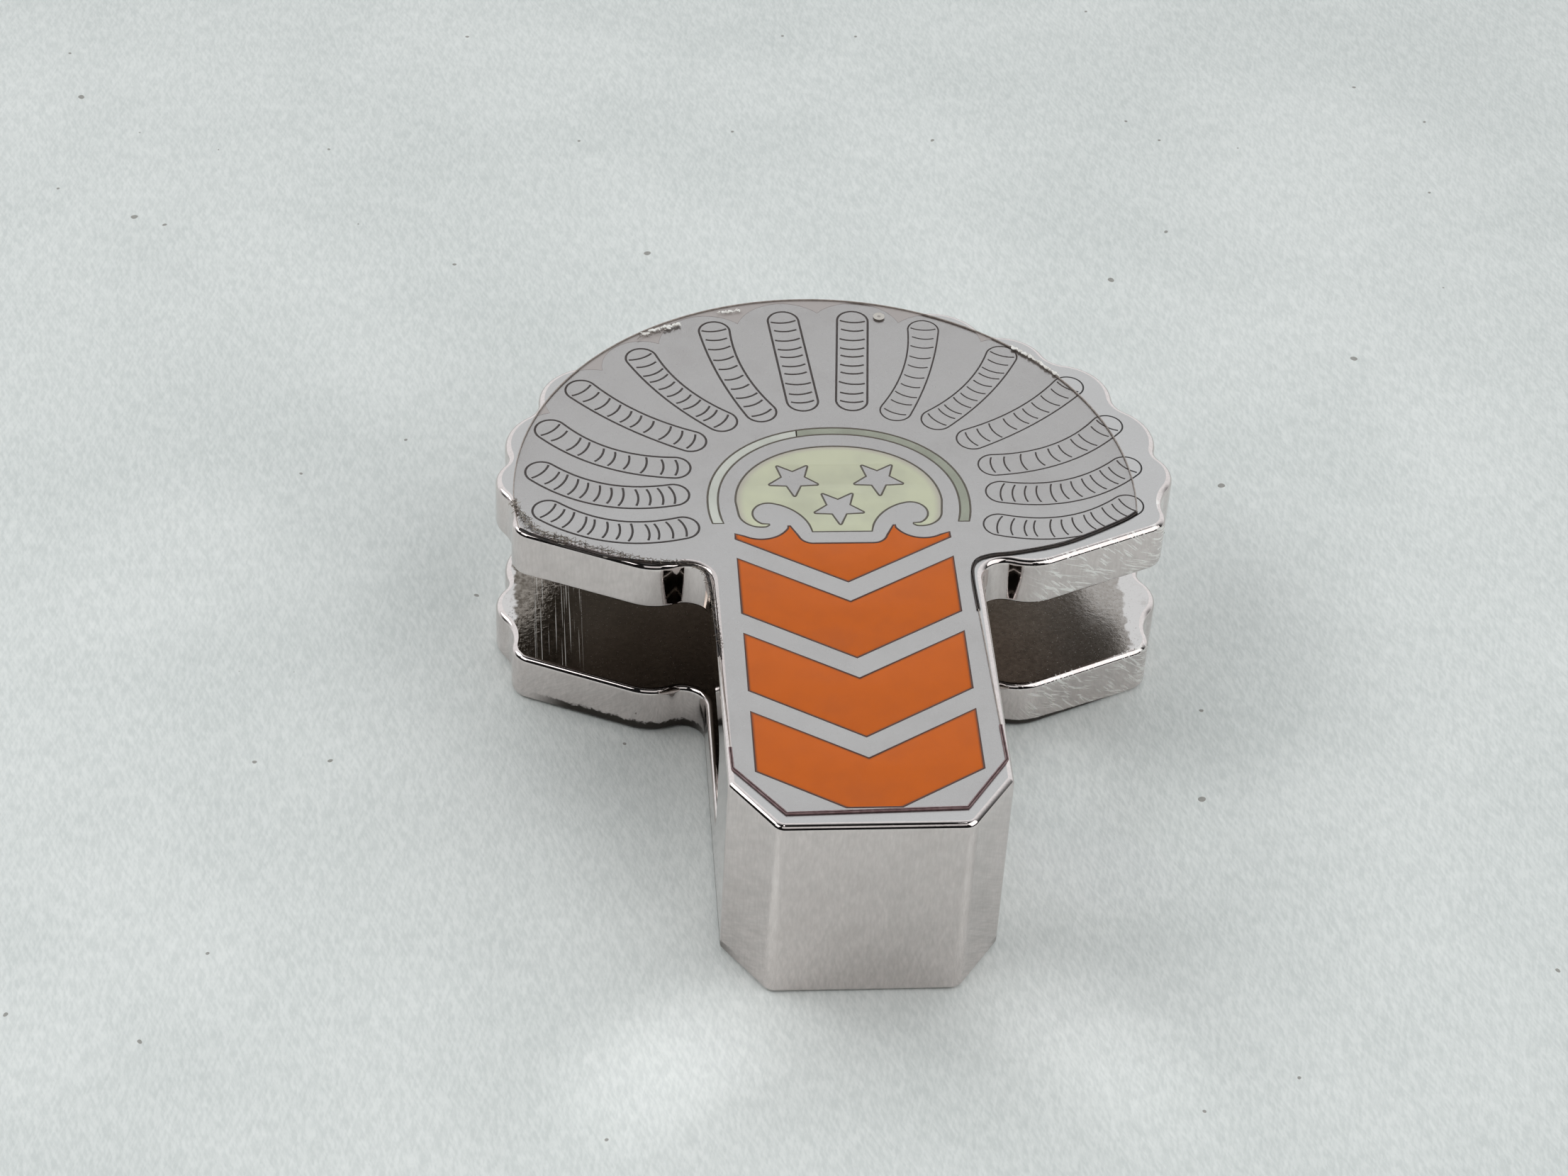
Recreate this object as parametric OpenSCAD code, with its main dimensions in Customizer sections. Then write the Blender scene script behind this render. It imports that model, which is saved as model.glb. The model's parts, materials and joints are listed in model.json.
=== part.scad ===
// Scarf ring: a U-shaped metal clip. Two equal plates, each a scalloped fan with a
// straight stem, are joined at the stem's front end by a bridge of full height, and
// the scarf lies in the gap between them. Enamel fills shallow pockets in the upper
// face, and a thin clear film covers most of that face.
// The clip lies flat on its lower plate. X runs across it, Y from its front face to
// the back of the fan, and Z is up.

/* [Clip] */
// Overall height of the metal clip
clip_h = 12; // [10:0.5:16]
// Thickness of each plate
plate_t = 3; // [2:0.25:4]

/* [Stem] */
// Width of the stem
stem_w = 14.4; // [12.5:0.1:15]
// Distance from the fan's centre to the front face of the bridge
stem_reach = 26.7; // [26:0.1:32]
// Distance from the fan's centre to the closed end of the gap
slot_reach = 17.6; // [14:0.1:20]
// Corner radius at the closed end of the gap
slot_corner = 0.8; // [0.3:0.1:1.5]
// Width of each front chamfer, across the clip
chamfer_x = 2.3; // [1:0.1:3]
// Length of each front chamfer, along the clip
chamfer_y = 3.2; // [1:0.1:5]
// Radius of the hollow corner where the stem meets the fan
notch_r = 1.3; // [0.6:0.1:1.6]

/* [Enamel] */
// Depth of the enamel pockets
pocket_d = 0.4; // [0.3:0.05:0.8]
// Clearance round each piece of enamel
enamel_gap = 0.04; // [0.02:0.01:0.08]
// Width of the half-ring band
band_w = 0.6; // [0.4:0.05:0.9]
// Half width of the orange fields
field_half = 5.77; // [5.4:0.01:6]
// Distance between one orange field and the next
field_pitch = 5.87; // [5.8:0.01:6]
// Length of a chevron along its side edges
chevron_t = 4.38; // [3:0.01:4.6]
// How far each chevron's point lies in front of its side corners
chevron_drop = 3.5; // [2.8:0.1:4]
// Outer radius of a star
star_r = 1.5; // [1:0.05:1.7]

/* [Film] */
// Thickness of the protective film
film_t = 0.1; // [0.05:0.05:0.2]
// Turn of the film on the upper face, in degrees
film_turn = 1.5; // [0:0.1:2]

/* [Hidden] */
$fn = 48;
chevrons = 3;

// Scallops of the right half, from the back of the fan to its front corner:
// [centre x, centre y, radius, radius of the valley after it]
LOBES = [
    [2.0, 12.5, 3.05, 1.5],
    [6.4, 11.4, 3.05, 1.5],
    [10.1, 9.6, 2.6, 1.5],
    [13.0, 6.75, 2.95, 1.5],
    [14.85, 2.97, 3.0, 1.0],
    [16.35, 0, 2.05, 2.5],
    [16.3, -3.4, 1.3, 0],
];
LAST = len(LOBES) - 1;
lobe_steps = 7;
valley_steps = 4;
notch_steps = 6;
swell_steps = 3;
front_steps = 4;

// The clip's box is centred on the origin in plan.
back_reach = LOBES[0][1] + LOBES[0][2];
fan_y = (stem_reach - back_reach) / 2;

// Hollow corner between fan and stem. Beside it the fan's front edge swells a little
// before it dips into the hollow.
stem_half = stem_w / 2;
swell_w = 1.5;
swell_y = -7.25;
notch_back_y = -6.98;
notch_c = [stem_half + notch_r, notch_back_y - notch_r];
swell_x = notch_c[0] + swell_w;
swell_h = swell_y - notch_c[1];
// The swelling touches the hollow's circle.
swell_r = (swell_w * swell_w + swell_h * swell_h - notch_r * notch_r) / (2 * (notch_r - swell_h));
swell_turn = atan2(swell_h + swell_r, swell_w);

// Front edge of the fan: straight from the corner scallop, then an arc that touches
// the foremost point of the swelling.
front_slope = 23.3;
front_n = [sin(front_slope), -cos(front_slope)];
corner_end = [LOBES[LAST][0], LOBES[LAST][1]] + LOBES[LAST][2] * front_n;
front_r = (corner_end * front_n - swell_x * front_n[0] - swell_y * front_n[1]) / (1 + front_n[1]);
front_c = [swell_x, swell_y + front_r];

// Heights
gap_top = clip_h - plate_t;
pocket_z = clip_h - pocket_d;
enamel_t = pocket_d - enamel_gap / 2;
cut = 1;
gap_reach = 30;
slot_steps = 4;

// Arches of the band and the dome share one centre and one squareness.
arch_y = -2.2;
arch_power = 2.1;
arch_steps = 14;
band_a = 7.1;
band_b = 6.35;
dome_a = 5.6;
dome_b = 4.77;
// The band's arches run this many degrees past their half turn, and are cut off straight.
band_tail = 18;
band_end_y = -3.82;
band_split_x = -1.9;

// Arcs of the enamel outlines: [centre, radius, first angle, last angle, steps].
// The dome's lower edge has a long flank, a round head and its hooked end. The crest
// has a sagging edge, a peak and a hollow foot.
FLANK = [[4.4, -4.9], 2.81, 162, 114, 6];
HEAD = [[3.83, -3.06], 0.87, 106, -62, 13];
HOOK = [[4.28, -2.93], 1.22, -102, -6, 8];
SAG = [[4.35, -3.45], 1.64, -58, -152, 7];
FOOT = [[1.6, -4.68], 0.77, -15, -90, 5];
hook_tip = [3.85, -3.93];
hook_tip_h = 0.13;
dome_floor_y = -4.56;
dome_start = 2;
crest_side_y = -5.1;
crest_tip_y = -4.62;
peak = [2.82, -4.01];
peak_half = 0.055;
last_flat_y = -25.36;

// Stars of the dome: [centre x, centre y]
STARS = [[-2.35, -0.23], [2.27, -0.22], [-0.05, -2.57]];
star_tips = 5;
star_waist = 0.44;
star_blunt = 0.96;

// Film, in its own frame whose origin is the centre of its round back
film_c = [-0.65, -1.3];
film_r = 16.8;
film_steps = 28;
film_right = 7.05;
film_left = 6.8;
film_front = 24.33;
film_chamfer = [2.4, 3.3];
film_edge = [[16.6, -2.4], [16.0, -2.9], [14.1, -3.95], [12.2, -4.85], [9.5, -5.43], [8.3, -5.5]];
film_neck_y = -6.8;
film_corner = [0.35, 0.95];

function heading(from, to) = atan2(to[1] - from[1], to[0] - from[0]);
function round_heading(from, to) = (heading(from, to) + 360) % 360;
function flip(points) = [for (i = [len(points) - 1 : -1 : 0]) [-points[i][0], points[i][1]]];
function arc(c, r, from, to, steps) =
    [for (i = [0 : steps]) let (t = from + (to - from) * i / steps) c + r * [cos(t), sin(t)]];
// Arc of an enamel outline, with its radius changed by grow
function outline_arc(a, grow) = arc(a[0], a[1] + grow, a[2], a[3], a[4]);

// Centre of the circle that rests against the outside of two scallops
function valley_c(a, b, r) =
    let (p = [a[0], a[1]],
         q = [b[0], b[1]],
         d = norm(q - p),
         u = (q - p) / d,
         ra = a[2] + r,
         rb = b[2] + r,
         along = (ra * ra - rb * rb + d * d) / (2 * d),
         away = sqrt(ra * ra - along * along))
    p + along * u + away * [-u[1], u[0]];

// Valleys of the right half: number 0 is on the middle line, number i before scallop i
MIRRORED = [-LOBES[0][0], LOBES[0][1], LOBES[0][2]];
VALLEYS = [for (i = [0 : LAST])
    i == 0 ? valley_c(MIRRORED, LOBES[0], LOBES[0][3])
           : valley_c(LOBES[i - 1], LOBES[i], LOBES[i - 1][3])];
function valley_r(i) = LOBES[max(i - 1, 0)][3];

// Right edge of the plate, from the middle of the back to the middle of the front
function valley_edge(i) =
    arc(VALLEYS[i], valley_r(i), i == 0 ? 270 : round_heading(VALLEYS[i], LOBES[i - 1]),
        round_heading(VALLEYS[i], LOBES[i]), valley_steps);
function lobe_edge(i) =
    let (to = i == LAST ? front_slope - 90 : heading(LOBES[i], VALLEYS[i + 1]),
         edge = arc([LOBES[i][0], LOBES[i][1]], LOBES[i][2], heading(LOBES[i], VALLEYS[i]), to, lobe_steps))
    [for (k = [1 : lobe_steps - (i == LAST ? 0 : 1)]) edge[k]];
function right_edge() = concat(
    [for (i = [0 : LAST]) each concat(valley_edge(i), lobe_edge(i))],
    arc(front_c, front_r, front_slope - 90, -90, front_steps),
    let (swell = arc([swell_x, swell_y + swell_r], swell_r, -90, swell_turn - 180, swell_steps))
        [for (k = [1 : swell_steps - 1]) swell[k]],
    arc(notch_c, notch_r, swell_turn, 180, notch_steps),
    [[stem_half, chamfer_y - stem_reach], [stem_half - chamfer_x, -stem_reach]]);

// Point of a squared arch at angle t
function arch_point(a, b, t) =
    [a * sign(cos(t)) * pow(abs(cos(t)), 2 / arch_power),
     arch_y + b * sign(sin(t)) * pow(abs(sin(t)), 2 / arch_power)];
function arch(a, b, from, to) =
    [for (i = [0 : arch_steps]) arch_point(a, b, from + (to - from) * i / arch_steps)];

module plate_outline() {
    half = right_edge();
    left = flip(half);
    polygon(concat(half, [for (i = [0 : len(left) - 2]) left[i]]));
}

// Gap for the scarf, open at both sides and at the back
module scarf_gap() {
    reach = slot_reach - slot_corner;
    low = plate_t + slot_corner;
    high = gap_top - slot_corner;
    translate([-gap_reach, 0, 0]) rotate([90, 0, 90]) linear_extrude(2 * gap_reach)
        polygon(concat([[gap_reach, gap_top]],
                       arc([-reach, high], slot_corner, 90, 180, slot_steps),
                       arc([-reach, low], slot_corner, 180, 270, slot_steps),
                       [[gap_reach, plate_t]]));
}

// Star with one tip to the front, its tips worn round
module star() {
    step = 180 / star_tips;
    intersection() {
        polygon([for (i = [0 : 2 * star_tips - 1])
            let (t = -90 + step * i, r = (i % 2 == 0) ? star_r : star_waist * star_r) r * [cos(t), sin(t)]]);
        circle(star_r * star_blunt);
    }
}

module stars(grow) {
    for (s = STARS) translate(s) scale(1 + grow / star_r) star();
}

// The outlines of the enamel fields are each drawn smaller by g all round.
// Slanted edges move further than g along Y.
function slant_shift(g) = g * norm([field_half, chevron_drop]) / field_half;

module chevron_shape(i, g) {
    low = crest_side_y - field_pitch * i;
    top = low + chevron_t;
    w = field_half - g;
    s = slant_shift(g);
    flat = field_half * (1 - (low - last_flat_y) / chevron_drop);
    front = i == chevrons ? [[-flat, last_flat_y + g], [flat, last_flat_y + g]]
                          : [[0, low - chevron_drop + s]];
    polygon(concat([[w, low + s], [w, top - s], [0, top - chevron_drop - s], [-w, top - s], [-w, low + s]],
                   front));
}

module crest_shape(g) {
    s = slant_shift(g);
    half = concat(
        [[0, crest_side_y - chevron_drop + s], [field_half - g, crest_side_y + s],
         [field_half - g, crest_tip_y - g]],
        outline_arc(SAG, g),
        [peak + [peak_half, -2 * g], peak + [-peak_half, -2 * g]],
        outline_arc(FOOT, g));
    polygon(concat(half, flip(half)));
}

module band_shape(g) {
    outer = arch(band_a - g, band_b - g, -band_tail, 180 + band_tail);
    inner = arch(band_a - band_w + g, band_b - band_w + g, 180 + band_tail, -band_tail);
    intersection() {
        polygon(concat(outer, inner));
        translate([-band_a, band_end_y + g]) square([2 * band_a, 2 * band_a]);
    }
}

// Stretch of the band on one side of its colour change: -1 for the left, 1 for the right
module band_part(side, g) {
    width = 2 * band_a;
    intersection() {
        band_shape(g);
        translate([band_split_x + side * g - (side < 0 ? width : 0), -band_a]) square([width, 2 * width]);
    }
}

module dome_shape(g) {
    floor_y = dome_floor_y + g;
    floor_x = FLANK[0][0] - sqrt(pow(FLANK[1] + g, 2) - pow(floor_y - FLANK[0][1], 2));
    tip_h = hook_tip_h / 2 - g;
    half = concat(
        [[floor_x, floor_y]],
        outline_arc(FLANK, g),
        outline_arc(HEAD, g),
        [hook_tip + [g, tip_h], hook_tip + [g, -tip_h]],
        outline_arc(HOOK, -g),
        arch(dome_a - g, dome_b - g, dome_start, 90));
    polygon(concat(half, flip(half)));
}

module enamel_layer(z, t) {
    translate([0, fan_y, z]) linear_extrude(t) children();
}

module clip_body() {
    color("silver") difference() {
        translate([0, fan_y, 0]) linear_extrude(clip_h) plate_outline();
        translate([0, fan_y, 0]) scarf_gap();
        enamel_layer(pocket_z, pocket_d + cut) {
            crest_shape(0);
            for (i = [1 : chevrons]) chevron_shape(i, 0);
            band_shape(0);
            difference() {
                dome_shape(0);
                stars(0);
            }
        }
    }
}

module orange_crest() {
    color("chocolate") enamel_layer(pocket_z, enamel_t) crest_shape(enamel_gap);
}

module chevron(i) {
    color("chocolate") enamel_layer(pocket_z, enamel_t) chevron_shape(i, enamel_gap);
}

module dome_enamel() {
    color("beige") enamel_layer(pocket_z, enamel_t) difference() {
        dome_shape(enamel_gap);
        stars(enamel_gap);
    }
}

module band_pale() {
    color("ivory") enamel_layer(pocket_z, enamel_t) band_part(-1, enamel_gap);
}

module band_green() {
    color("darkseagreen") enamel_layer(pocket_z, enamel_t) band_part(1, enamel_gap);
}

// One side of the film's edge, from the fan to the front face
function film_side(half) = concat(
    film_edge,
    [[half + film_corner[0], film_neck_y + film_corner[1]], [half, film_neck_y],
     [half, film_chamfer[1] - film_front], [half - film_chamfer[0], -film_front]]);

module protective_film() {
    start = heading([0, 0], film_edge[0]);
    back = arc([0, 0], film_r, 180 - start, start, film_steps);
    color("lightgray", 0.5) enamel_layer(clip_h, film_t)
        translate(film_c) rotate(film_turn)
            polygon(concat(back, film_side(film_right), flip(film_side(film_left))));
}

clip_body();
orange_crest();
chevron(1);  // chevron_1
chevron(2);  // chevron_2
chevron(3);  // chevron_3
dome_enamel();
band_pale();
band_green();
protective_film();
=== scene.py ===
# %% [markdown]
# A scarf ring, finished in Blender.
# The ring is one piece of polished, plated metal: two scalloped plates joined by a
# bridge, with enamel let into the upper face, engraved bars round it and a clear
# protective film on top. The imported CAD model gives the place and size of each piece.
# This script rebuilds the pieces that need rounder edges and finer outlines, engraves
# the lines, gives each surface its finish, and sets up floor, light and camera.

# %% Frame
import json
import math

import bmesh
import bpy
import numpy as np
from mathutils import Matrix, Vector

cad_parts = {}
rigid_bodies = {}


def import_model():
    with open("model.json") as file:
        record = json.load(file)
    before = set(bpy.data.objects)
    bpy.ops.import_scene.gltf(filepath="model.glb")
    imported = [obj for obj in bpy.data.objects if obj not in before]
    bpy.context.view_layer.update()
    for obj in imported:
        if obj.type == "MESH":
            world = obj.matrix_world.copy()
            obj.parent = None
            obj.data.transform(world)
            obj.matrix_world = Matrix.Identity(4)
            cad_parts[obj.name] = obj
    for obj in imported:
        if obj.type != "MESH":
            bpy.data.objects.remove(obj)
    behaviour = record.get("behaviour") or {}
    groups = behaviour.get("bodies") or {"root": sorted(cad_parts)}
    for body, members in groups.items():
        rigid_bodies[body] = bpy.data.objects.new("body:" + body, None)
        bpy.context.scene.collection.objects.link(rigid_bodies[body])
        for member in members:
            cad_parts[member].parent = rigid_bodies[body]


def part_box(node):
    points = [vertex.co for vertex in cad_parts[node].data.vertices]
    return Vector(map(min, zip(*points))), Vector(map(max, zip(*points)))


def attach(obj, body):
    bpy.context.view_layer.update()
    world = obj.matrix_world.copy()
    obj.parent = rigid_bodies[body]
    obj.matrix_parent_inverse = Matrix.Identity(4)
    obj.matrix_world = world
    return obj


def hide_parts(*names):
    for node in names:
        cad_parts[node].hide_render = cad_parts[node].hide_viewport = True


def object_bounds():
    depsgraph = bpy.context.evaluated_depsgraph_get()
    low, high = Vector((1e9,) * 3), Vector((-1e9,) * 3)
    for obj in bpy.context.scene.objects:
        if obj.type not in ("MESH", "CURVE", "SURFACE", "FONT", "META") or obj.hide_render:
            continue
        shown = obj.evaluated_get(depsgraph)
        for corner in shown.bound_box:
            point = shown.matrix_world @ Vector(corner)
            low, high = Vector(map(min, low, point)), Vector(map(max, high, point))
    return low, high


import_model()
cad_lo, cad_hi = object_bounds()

MM = 0.001
print("CAD box in mm:", [round(v / MM, 2) for v in (*cad_lo, *cad_hi)])

# %% [markdown]
# Drawing in plan.
# The maker's drawing of this object is a plan: arcs that touch each other, straight
# stretches, and two arches. It is drawn in millimetres round the centre of the fan.
# The CAD box tells where that centre lies, so nothing has to be fitted by eye.
# Outlines are lists of 2-D points, because every tool below can take them. Sizes and
# places are in millimetres and angles in degrees. x runs to the right, y to the back.

# %% Plan helpers
# How far the fan's back lies behind its centre, and how close the points of an arc are
BACK_REACH = 15.55
FAN_Y = cad_hi.y / MM - BACK_REACH
TOP_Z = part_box("clip_body")[1].z / MM
ARC_STEP = 0.16
CORNER_STEP = 0.06


def polar(centre, radius, degrees):
    """Point on a circle."""
    angle = math.radians(degrees)
    return np.array([centre[0] + radius * math.cos(angle), centre[1] + radius * math.sin(angle)])


def arc(centre, radius, start, end, step=ARC_STEP):
    """Points along an arc, close enough together to look round."""
    count = max(2, math.ceil(abs(math.radians(end - start)) * radius / step))
    return [polar(centre, radius, start + (end - start) * i / count) for i in range(count + 1)]


def tidy(points, nearest=1e-3):
    """The outline without the points that arcs share where they meet."""
    kept = []
    for p in points:
        if not kept or np.linalg.norm(p - kept[-1]) > nearest:
            kept.append(np.asarray(p, float))
    if np.linalg.norm(kept[0] - kept[-1]) < nearest:
        kept.pop()
    return kept


def flip(points):
    """The same points on the other side of the middle line, in the opposite order."""
    return [np.array([-p[0], p[1]]) for p in reversed(points)]


def heading(a, b):
    """Direction from a to b, in degrees."""
    return math.degrees(math.atan2(b[1] - a[1], b[0] - a[0]))


def round_corner(before, corner, after, radius):
    """Arc that takes a sharp corner of an outline off."""
    before, corner, after = (np.asarray(p, float) for p in (before, corner, after))
    u = (before - corner) / np.linalg.norm(before - corner)
    v = (after - corner) / np.linalg.norm(after - corner)
    half = math.acos(np.clip(u @ v, -1, 1)) / 2
    middle = (u + v) / np.linalg.norm(u + v)
    centre = corner + middle * radius / math.sin(half)
    start = heading(centre, corner + u * radius / math.tan(half))
    end = heading(centre, corner + v * radius / math.tan(half))
    turn = (end - start + 180) % 360 - 180
    return arc(centre, radius, start, start + turn, CORNER_STEP)


print("fan centre at y =", round(FAN_Y, 3), "mm, upper face at z =", round(TOP_Z, 2), "mm")

# %% [markdown]
# The outline of the plates.
# Seven scallops on each side run from the back to the front corner, with a small
# hollow between one and the next. The hollow is a circle that rests against both, so
# its centre follows from theirs. The front edge is one long arc that swells a little
# before it dips into the hollow corner at the stem. The stem's front corners are cut off.

# %% Sizes of the plates
# Scallops of the right half: centre x, centre y, radius, radius of the hollow after it
LOBES = [
    (2.0, 12.5, 3.05, 1.5),
    (6.4, 11.4, 3.05, 1.5),
    (10.1, 9.6, 2.6, 1.5),
    (13.0, 6.75, 2.95, 1.5),
    (14.85, 2.97, 3.0, 1.0),
    (16.35, 0.0, 2.05, 2.5),
    (16.3, -3.4, 1.3, 0.0),
]
STEM_HALF = 7.2
STEM_REACH = 26.7
CHAMFER = (2.3, 3.2)
CHAMFER_ROUND = 0.4
FOOT_ROUND = 0.8
NOTCH_R = 1.3
NOTCH_BACK_Y = -6.98
NOTCH_C = (STEM_HALF + NOTCH_R, NOTCH_BACK_Y - NOTCH_R)
SWELL_W = 1.5
SWELL_TOP = (NOTCH_C[0] + SWELL_W, -7.25)
FRONT_SLOPE = 23.3
print("scallops:", 2 * len(LOBES), "and the stem is", 2 * STEM_HALF, "mm wide")


# %% Circles that touch
def hollow_centre(a, b, radius):
    """Centre of the circle that rests against the outside of two scallops."""
    p, q = np.array(a[:2]), np.array(b[:2])
    apart = np.linalg.norm(q - p)
    u = (q - p) / apart
    ra, rb = a[2] + radius, b[2] + radius
    along = (ra * ra - rb * rb + apart * apart) / (2 * apart)
    away = math.sqrt(ra * ra - along * along)
    return p + along * u + away * np.array([-u[1], u[0]])


def front_arc():
    """Centre and radius of the long arc that touches the swelling's foremost point and the slope."""
    x, y, radius, _ = LOBES[-1]
    n = np.array([math.sin(math.radians(FRONT_SLOPE)), -math.cos(math.radians(FRONT_SLOPE))])
    corner_end = np.array([x, y]) + radius * n
    r = (corner_end @ n - SWELL_TOP[0] * n[0] - SWELL_TOP[1] * n[1]) / (1 + n[1])
    return np.array([SWELL_TOP[0], SWELL_TOP[1] + r]), r


def swelling_arc():
    """Centre and radius of the swelling, and the heading at which it touches the hollow corner."""
    rise = SWELL_TOP[1] - NOTCH_C[1]
    r = (SWELL_W ** 2 + rise ** 2 - NOTCH_R ** 2) / (2 * (NOTCH_R - rise))
    return (SWELL_TOP[0], SWELL_TOP[1] + r), r, math.degrees(math.atan2(rise + r, SWELL_W))


print("long front arcs have a radius of", round(front_arc()[1], 2), "mm")


# %% Outline of the plates
def plate_outline():
    """Closed outline of a plate, from the middle of the back down the right side and up the left."""
    mirrored = (-LOBES[0][0], *LOBES[0][1:])
    before = [mirrored, *LOBES[:-1]]
    hollows = [(hollow_centre(a, b, a[3]), a[3]) for a, b in zip(before, LOBES)]
    edge = []
    for i, (lobe, (centre, radius)) in enumerate(zip(LOBES, hollows)):
        start = 270 if i == 0 else heading(centre, before[i]) % 360
        edge += arc(centre, radius, start, heading(centre, lobe) % 360)
        last = i == len(LOBES) - 1
        end = FRONT_SLOPE - 90 if last else heading(lobe, hollows[i + 1][0])
        edge += arc(lobe[:2], lobe[2], heading(lobe, centre), end)
    centre, radius = front_arc()
    edge += arc(centre, radius, FRONT_SLOPE - 90, -90)
    centre, radius, touch = swelling_arc()
    edge += arc(centre, radius, -90, touch - 180)
    edge += arc(NOTCH_C, NOTCH_R, touch, 180)
    corner = (STEM_HALF, CHAMFER[1] - STEM_REACH)
    foot = (STEM_HALF - CHAMFER[0], -STEM_REACH)
    edge += round_corner((STEM_HALF, NOTCH_C[1]), corner, foot, CHAMFER_ROUND)
    edge += round_corner(corner, foot, (0, -STEM_REACH), FOOT_ROUND)
    return tidy(edge + flip(edge))


PLATE = plate_outline()
print("plate outline:", len(PLATE), "points")

# %% [markdown]
# From outline to solid.
# A prism is the simplest solid over an outline. The gap for the scarf is a second
# solid that is cut away. All the outer edges are then rounded in one go with a bevel,
# as a polishing wheel does, and only after that are the enamel pockets cut, because
# their edges stay crisp. One mesh results, as the metal is one casting.

# %% Objects and meshes
# Points closer than this, in metres, are one point
WELD = 2e-7


def at(point, z):
    """Place in the frame, in metres, of a plan point at a height in millimetres."""
    return Vector((point[0] * MM, (point[1] + FAN_Y) * MM, z * MM))


def new_object(name, data):
    obj = bpy.data.objects.new(name, data)
    bpy.context.scene.collection.objects.link(obj)
    return obj


def settle(obj, name=None):
    """Turns what an object's modifiers make of it into a plain mesh object."""
    name = name or obj.name
    graph = bpy.context.evaluated_depsgraph_get()
    made = bpy.data.meshes.new_from_object(
        obj.evaluated_get(graph), preserve_all_data_layers=True, depsgraph=graph)
    old = obj.data
    bpy.data.objects.remove(obj)
    if old.users == 0:
        (bpy.data.meshes if isinstance(old, bpy.types.Mesh) else bpy.data.curves).remove(old)
    made.name = name
    return new_object(name, made)


def weld(obj):
    """Merges doubled points and turns all faces outwards."""
    bm = bmesh.new()
    bm.from_mesh(obj.data)
    bmesh.ops.remove_doubles(bm, verts=bm.verts, dist=WELD)
    bmesh.ops.dissolve_degenerate(bm, dist=WELD / 10, edges=bm.edges)
    bmesh.ops.recalc_face_normals(bm, faces=bm.faces)
    bm.to_mesh(obj.data)
    bm.free()
    return obj


# %% Solid helpers
def loft(name, start, end):
    """Solid between two rings of the same number of places in the frame."""
    bm = bmesh.new()
    near = [bm.verts.new(p) for p in start]
    far = [bm.verts.new(p) for p in end]
    bm.faces.new(near)
    bm.faces.new(far[::-1])
    for i in range(len(near)):
        j = (i + 1) % len(near)
        bm.faces.new((near[j], near[i], far[i], far[j]))
    bmesh.ops.recalc_face_normals(bm, faces=bm.faces)
    mesh = bpy.data.meshes.new(name)
    bm.to_mesh(mesh)
    bm.free()
    return new_object(name, mesh)


def prism(name, outline, low, high):
    """Solid with straight walls over an outline, from one height to another."""
    return loft(name, [at(p, low) for p in outline], [at(p, high) for p in outline])


def subtract(obj, tool):
    """Cuts the tool away from the object and throws the tool away."""
    cut = obj.modifiers.new("cut", "BOOLEAN")
    cut.operation, cut.solver, cut.object = "DIFFERENCE", "EXACT", tool
    made = settle(obj)
    bpy.data.objects.remove(tool)
    return made


def filled(name, loops, low, high, rounding=0.0):
    """Slab over one outline with others as holes in it, its rims rounded."""
    curve = bpy.data.curves.new(name, "CURVE")
    curve.dimensions, curve.fill_mode = "2D", "BOTH"
    curve.extrude = ((high - low) / 2 - rounding) * MM
    curve.bevel_depth, curve.offset = rounding * MM, -rounding * MM
    curve.bevel_resolution = 2
    for loop in loops:
        spline = curve.splines.new("POLY")
        spline.points.add(len(loop) - 1)
        for point, p in zip(spline.points, loop):
            point.co = (*at(p, 0).xy, 0, 1)
        spline.use_cyclic_u = True
    obj = settle(new_object(name, curve), name)
    obj.data.transform(Matrix.Translation((0, 0, (low + high) / 2 * MM)))
    return weld(obj)


# %% [markdown]
# Drawing the enamel fields.
# Four fields of orange run down the stem, each a V that fits the next. Above them sit a
# half-ring band in two tones and a dome whose lower edge curls up in two scrolls, round
# three stars. Each field is drawn by a function with a margin g, so the same drawing
# gives the pocket in the metal and, a little smaller, the glass that fills it.

# %% Sizes of the enamel fields
FINE_STEP = 0.1
FIELD_HALF = 5.77
FIELD_PITCH = 5.87
FIELD_LENGTH = 4.38
FIELD_DROP = 3.5
CREST_SIDE_Y = -5.1
CREST_TIP_Y = -4.62
LAST_FLAT_Y = -25.36
CHEVRONS = 3
PEAK = (2.82, -4.01)
ARCH_Y = -2.2
ARCH_POWER = 2.1
# The band: half width and height of its outer arch, and its own width
BAND = (7.1, 6.35, 0.6)
BAND_END_Y = -3.82
BAND_SPLIT_X = -1.9
DOME = (5.6, 4.77)
DOME_FLOOR_Y = -4.56
HOOK_TIP = (3.85, -3.93)
HOOK_TIP_HALF = 0.065
PEAK_HALF = 0.055
# Arcs of the crest and of the scrolls: centre, radius, first and last heading
CREST_SHOULDER = ((4.35, -3.45), 1.64, -58, -152)
CREST_DIP = ((1.6, -4.68), 0.77, -15, -90)
DOME_FLANK = ((4.4, -4.9), 2.81, 162, 114)
SCROLL_BACK = ((3.83, -3.06), 0.87, 106, -62)
SCROLL_FRONT = ((4.28, -2.93), 1.22, -102, -6)
SCROLL_STEP = 0.08
STARS = [(-2.35, -0.23), (2.27, -0.22), (-0.05, -2.57)]
STAR_TIPS = 5
STAR_R = 1.5
STAR_WAIST = 0.44
STAR_ROUND = 0.07
print("the fields on the stem reach from y =", CREST_TIP_Y, "to", LAST_FLAT_Y, "mm")


# %% Orange fields
def drawn(shape, g=0.0, step=FINE_STEP):
    """One of the arcs above, with g more on its radius."""
    centre, radius, start, end = shape
    return arc(centre, radius + g, start, end, step)


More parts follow.
